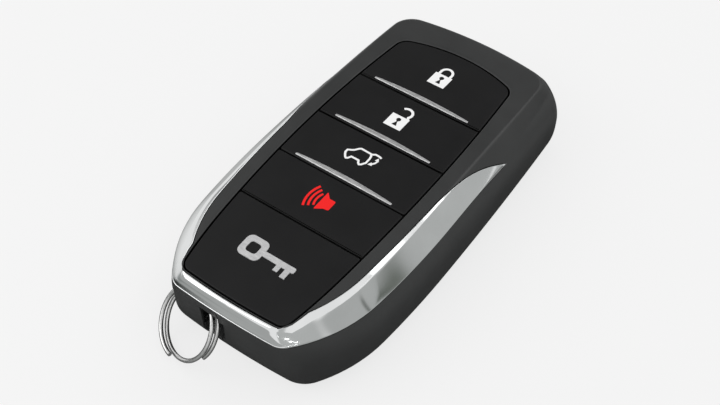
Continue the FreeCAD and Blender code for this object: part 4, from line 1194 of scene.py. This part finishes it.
def glowing(tree, share, under, tone):
    """Lays a share of a glowing tone over a surface, and sends the result out."""
    glow = tree.nodes.new("ShaderNodeEmission")
    glow.inputs["Color"].default_value = (*tone, 1)
    mix = tree.nodes.new("ShaderNodeMixShader")
    tree.links.new(share, mix.inputs["Fac"])
    tree.links.new(under.outputs["BSDF"], mix.inputs[1])
    tree.links.new(glow.outputs["Emission"], mix.inputs[2])
    tree.links.new(mix.outputs["Shader"], tree.nodes["Material Output"].inputs["Surface"])


def pale(name, tone, share):
    """Pale paper that shows its own tone to the camera and to gloss, and keeps a soft shadow."""
    finish, tree, shader, place = wire_up(name)
    shader.inputs["Base Color"].default_value = (0.82, 0.82, 0.82, 1)
    shader.inputs["Roughness"].default_value = 1.0
    shader.inputs["Specular IOR Level"].default_value = 0.0
    glowing(tree, worked_out(tree, "MULTIPLY", seen_directly(tree), share), shader, (tone, tone, tone))
    return finish


# The paper lies a hair below the key
bm = bmesh.new()
bmesh.ops.create_grid(bm, x_segments=1, y_segments=1, size=3.0)
floor = finished("floor", bm)
floor.location.z = -0.02 * MM
floor.data.materials.append(pale("paper", 0.94, 0.8))

world = bpy.data.worlds.new("studio")
bpy.context.scene.world = world
world.use_nodes = True
sky = world.node_tree.nodes["Background"]
sky.inputs["Color"].default_value = (1, 1, 1, 1)
spread(world.node_tree, seen_directly(world.node_tree), 0.78, 0.93, sky.inputs["Strength"])
print("floor and sky are pale")


# %% Lamps
def from_the_key(azimuth, elevation, distance):
    """A place around the key. Azimuth 0 is to the key's right, and 90 beyond its lock end."""
    turn, rise = math.radians(azimuth), math.radians(elevation)
    line = Vector((math.cos(turn) * math.cos(rise), math.sin(turn) * math.cos(rise), math.sin(rise)))
    return line * distance


def facing_the_key(item):
    """Turns a lamp or a card towards the key."""
    item.rotation_euler = (Vector((0, 0, 0.01)) - item.location).to_track_quat("-Z", "Y").to_euler()


def lamp(name, azimuth, elevation, distance, size, brightness):
    """A soft lamp. Its brightness is the tone that a mirror would show."""
    data = bpy.data.lights.new(name, "AREA")
    data.shape = "RECTANGLE"
    data.size, data.size_y = size
    data.energy = brightness * math.pi * size[0] * size[1]
    item = bpy.data.objects.new(name, data)
    item.location = from_the_key(azimuth, elevation, distance)
    facing_the_key(item)
    bpy.context.collection.objects.link(item)


lamp("nose_box", -137, 37, 0.50, (0.33, 0.34), 1.5)
lamp("back_box", 66, 52, 0.55, (0.28, 0.28), 1.3)
SPARKS = [(-55, 17), (-39, 15), (-37.5, 10), (-35, 6.5)]
SPARK_SIZE, SPARK_TONE = (0.009, 0.009), 9.0
for number, (azimuth, elevation) in enumerate(SPARKS):
    lamp("spark_%d" % number, azimuth, elevation, 0.42, SPARK_SIZE, SPARK_TONE)


# %% Cards that only reflections see
def card_finish(name, tone, soft):
    """One tone, fading away towards the sides of the card and towards its top and bottom."""
    finish, tree, shader, place = wire_up(name)
    tree.nodes.remove(shader)
    apart = tree.nodes.new("ShaderNodeSeparateXYZ")
    tree.links.new(place.outputs["Object"], apart.inputs["Vector"])
    fades = []
    for side, edge in zip("XY", soft):
        fade = tree.nodes.new("ShaderNodeMapRange")
        fade.interpolation_type = "SMOOTHSTEP"
        fade.inputs["From Min"].default_value = 1.0 - edge
        fade.inputs["To Min"].default_value = 1.0
        fade.inputs["To Max"].default_value = 0.0
        tree.links.new(worked_out(tree, "ABSOLUTE", apart.outputs[side]), fade.inputs["Value"])
        fades.append(fade.outputs["Result"])
    clear = tree.nodes.new("ShaderNodeBsdfTransparent")
    glowing(tree, worked_out(tree, "MULTIPLY", *fades), clear, tone)
    return finish


def card(name, size, tone, soft):
    """A flat card that only shiny surfaces see."""
    bm = bmesh.new()
    bmesh.ops.create_grid(bm, x_segments=1, y_segments=1, size=1.0)
    item = finished("card_" + name, bm)
    item.scale = (size[0] / 2, size[1] / 2, 1)
    item.data.materials.append(card_finish("card " + name, tone, soft))
    item.visible_camera = item.visible_diffuse = item.visible_shadow = False
    item.visible_transmission = item.visible_volume_scatter = False
    return item


def standing_card(name, azimuth, elevation, distance, size, tone, soft=(0.35, 0.35), tilt=0.0):
    """A card that faces the key. A tilt leans it to one side."""
    item = card(name, size, tone, soft)
    item.location = from_the_key(azimuth, elevation, distance)
    facing_the_key(item)
    item.rotation_euler.rotate_axis("Z", math.radians(tilt))


def lying_card(name, place, size, tone, soft=(0.35, 0.35)):
    """A card on the floor. The later ones lie on the earlier ones."""
    item = card(name, size, tone, soft)
    lying = len([other for other in bpy.data.objects if other.name.startswith("card_floor")])
    item.location = (*place, CARD_STEP * lying)


# How far apart the lying cards are, three greys, and soft sides with a crisp top and bottom
CARD_STEP = 0.0001
PALE_GREY, MID_GREY, GREY = (0.50, 0.51, 0.505), (0.45, 0.46, 0.455), (0.42, 0.43, 0.425)
CRISP_TOP = (0.35, 0.08)
# A dark card over the pad, greys low on every side, and two streaks that the right blade mirrors
standing_card("over_pad", 116, 46, 0.50, (0.42, 0.50), (0.06, 0.06, 0.06))
standing_card("nose_low", -122, 4, 0.62, (0.80, 0.22), GREY)
standing_card("right_front", -38, 7, 0.60, (0.54, 0.40), PALE_GREY, CRISP_TOP)
standing_card("right_side", 6, 7, 0.62, (0.62, 0.40), MID_GREY, CRISP_TOP)
standing_card("right_back", 56, 7, 0.60, (0.90, 0.40), PALE_GREY, CRISP_TOP)
standing_card("streak", 20.0, 10.4, 0.39, (0.115, 0.021), (0.03, 0.045, 0.025), (0.7, 0.9), tilt=39)
standing_card("thin_streak", 10, 10, 0.40, (0.025, 0.12), (0.16, 0.17, 0.16), (0.9, 0.5))
standing_card("back_low", 100, 7, 0.60, (0.60, 0.18), (0.12, 0.12, 0.12))
# Greys on the floor, which the lower parts of the sides mirror
lying_card("floor_grey", (0.24, -0.06), (0.60, 0.56), MID_GREY, (0.12, 0.15))
lying_card("floor_front", (-0.14, -0.36), (0.66, 0.62), GREY, (0.2, 0.06))
lying_card("floor_back", (0.02, 0.10), (0.18, 0.12), (0.20, 0.20, 0.20))
lying_card("floor_left", (-0.065, -0.085), (0.10, 0.11), (0.27, 0.285, 0.28), (0.9, 0.9))
lying_card("floor_nose", (-0.029, -0.050), (0.040, 0.034), (0.04, 0.045, 0.043), (0.8, 0.8))
lying_card("floor_near", (0.0, 0.0), (0.076, 0.116), (0.07, 0.07, 0.07))
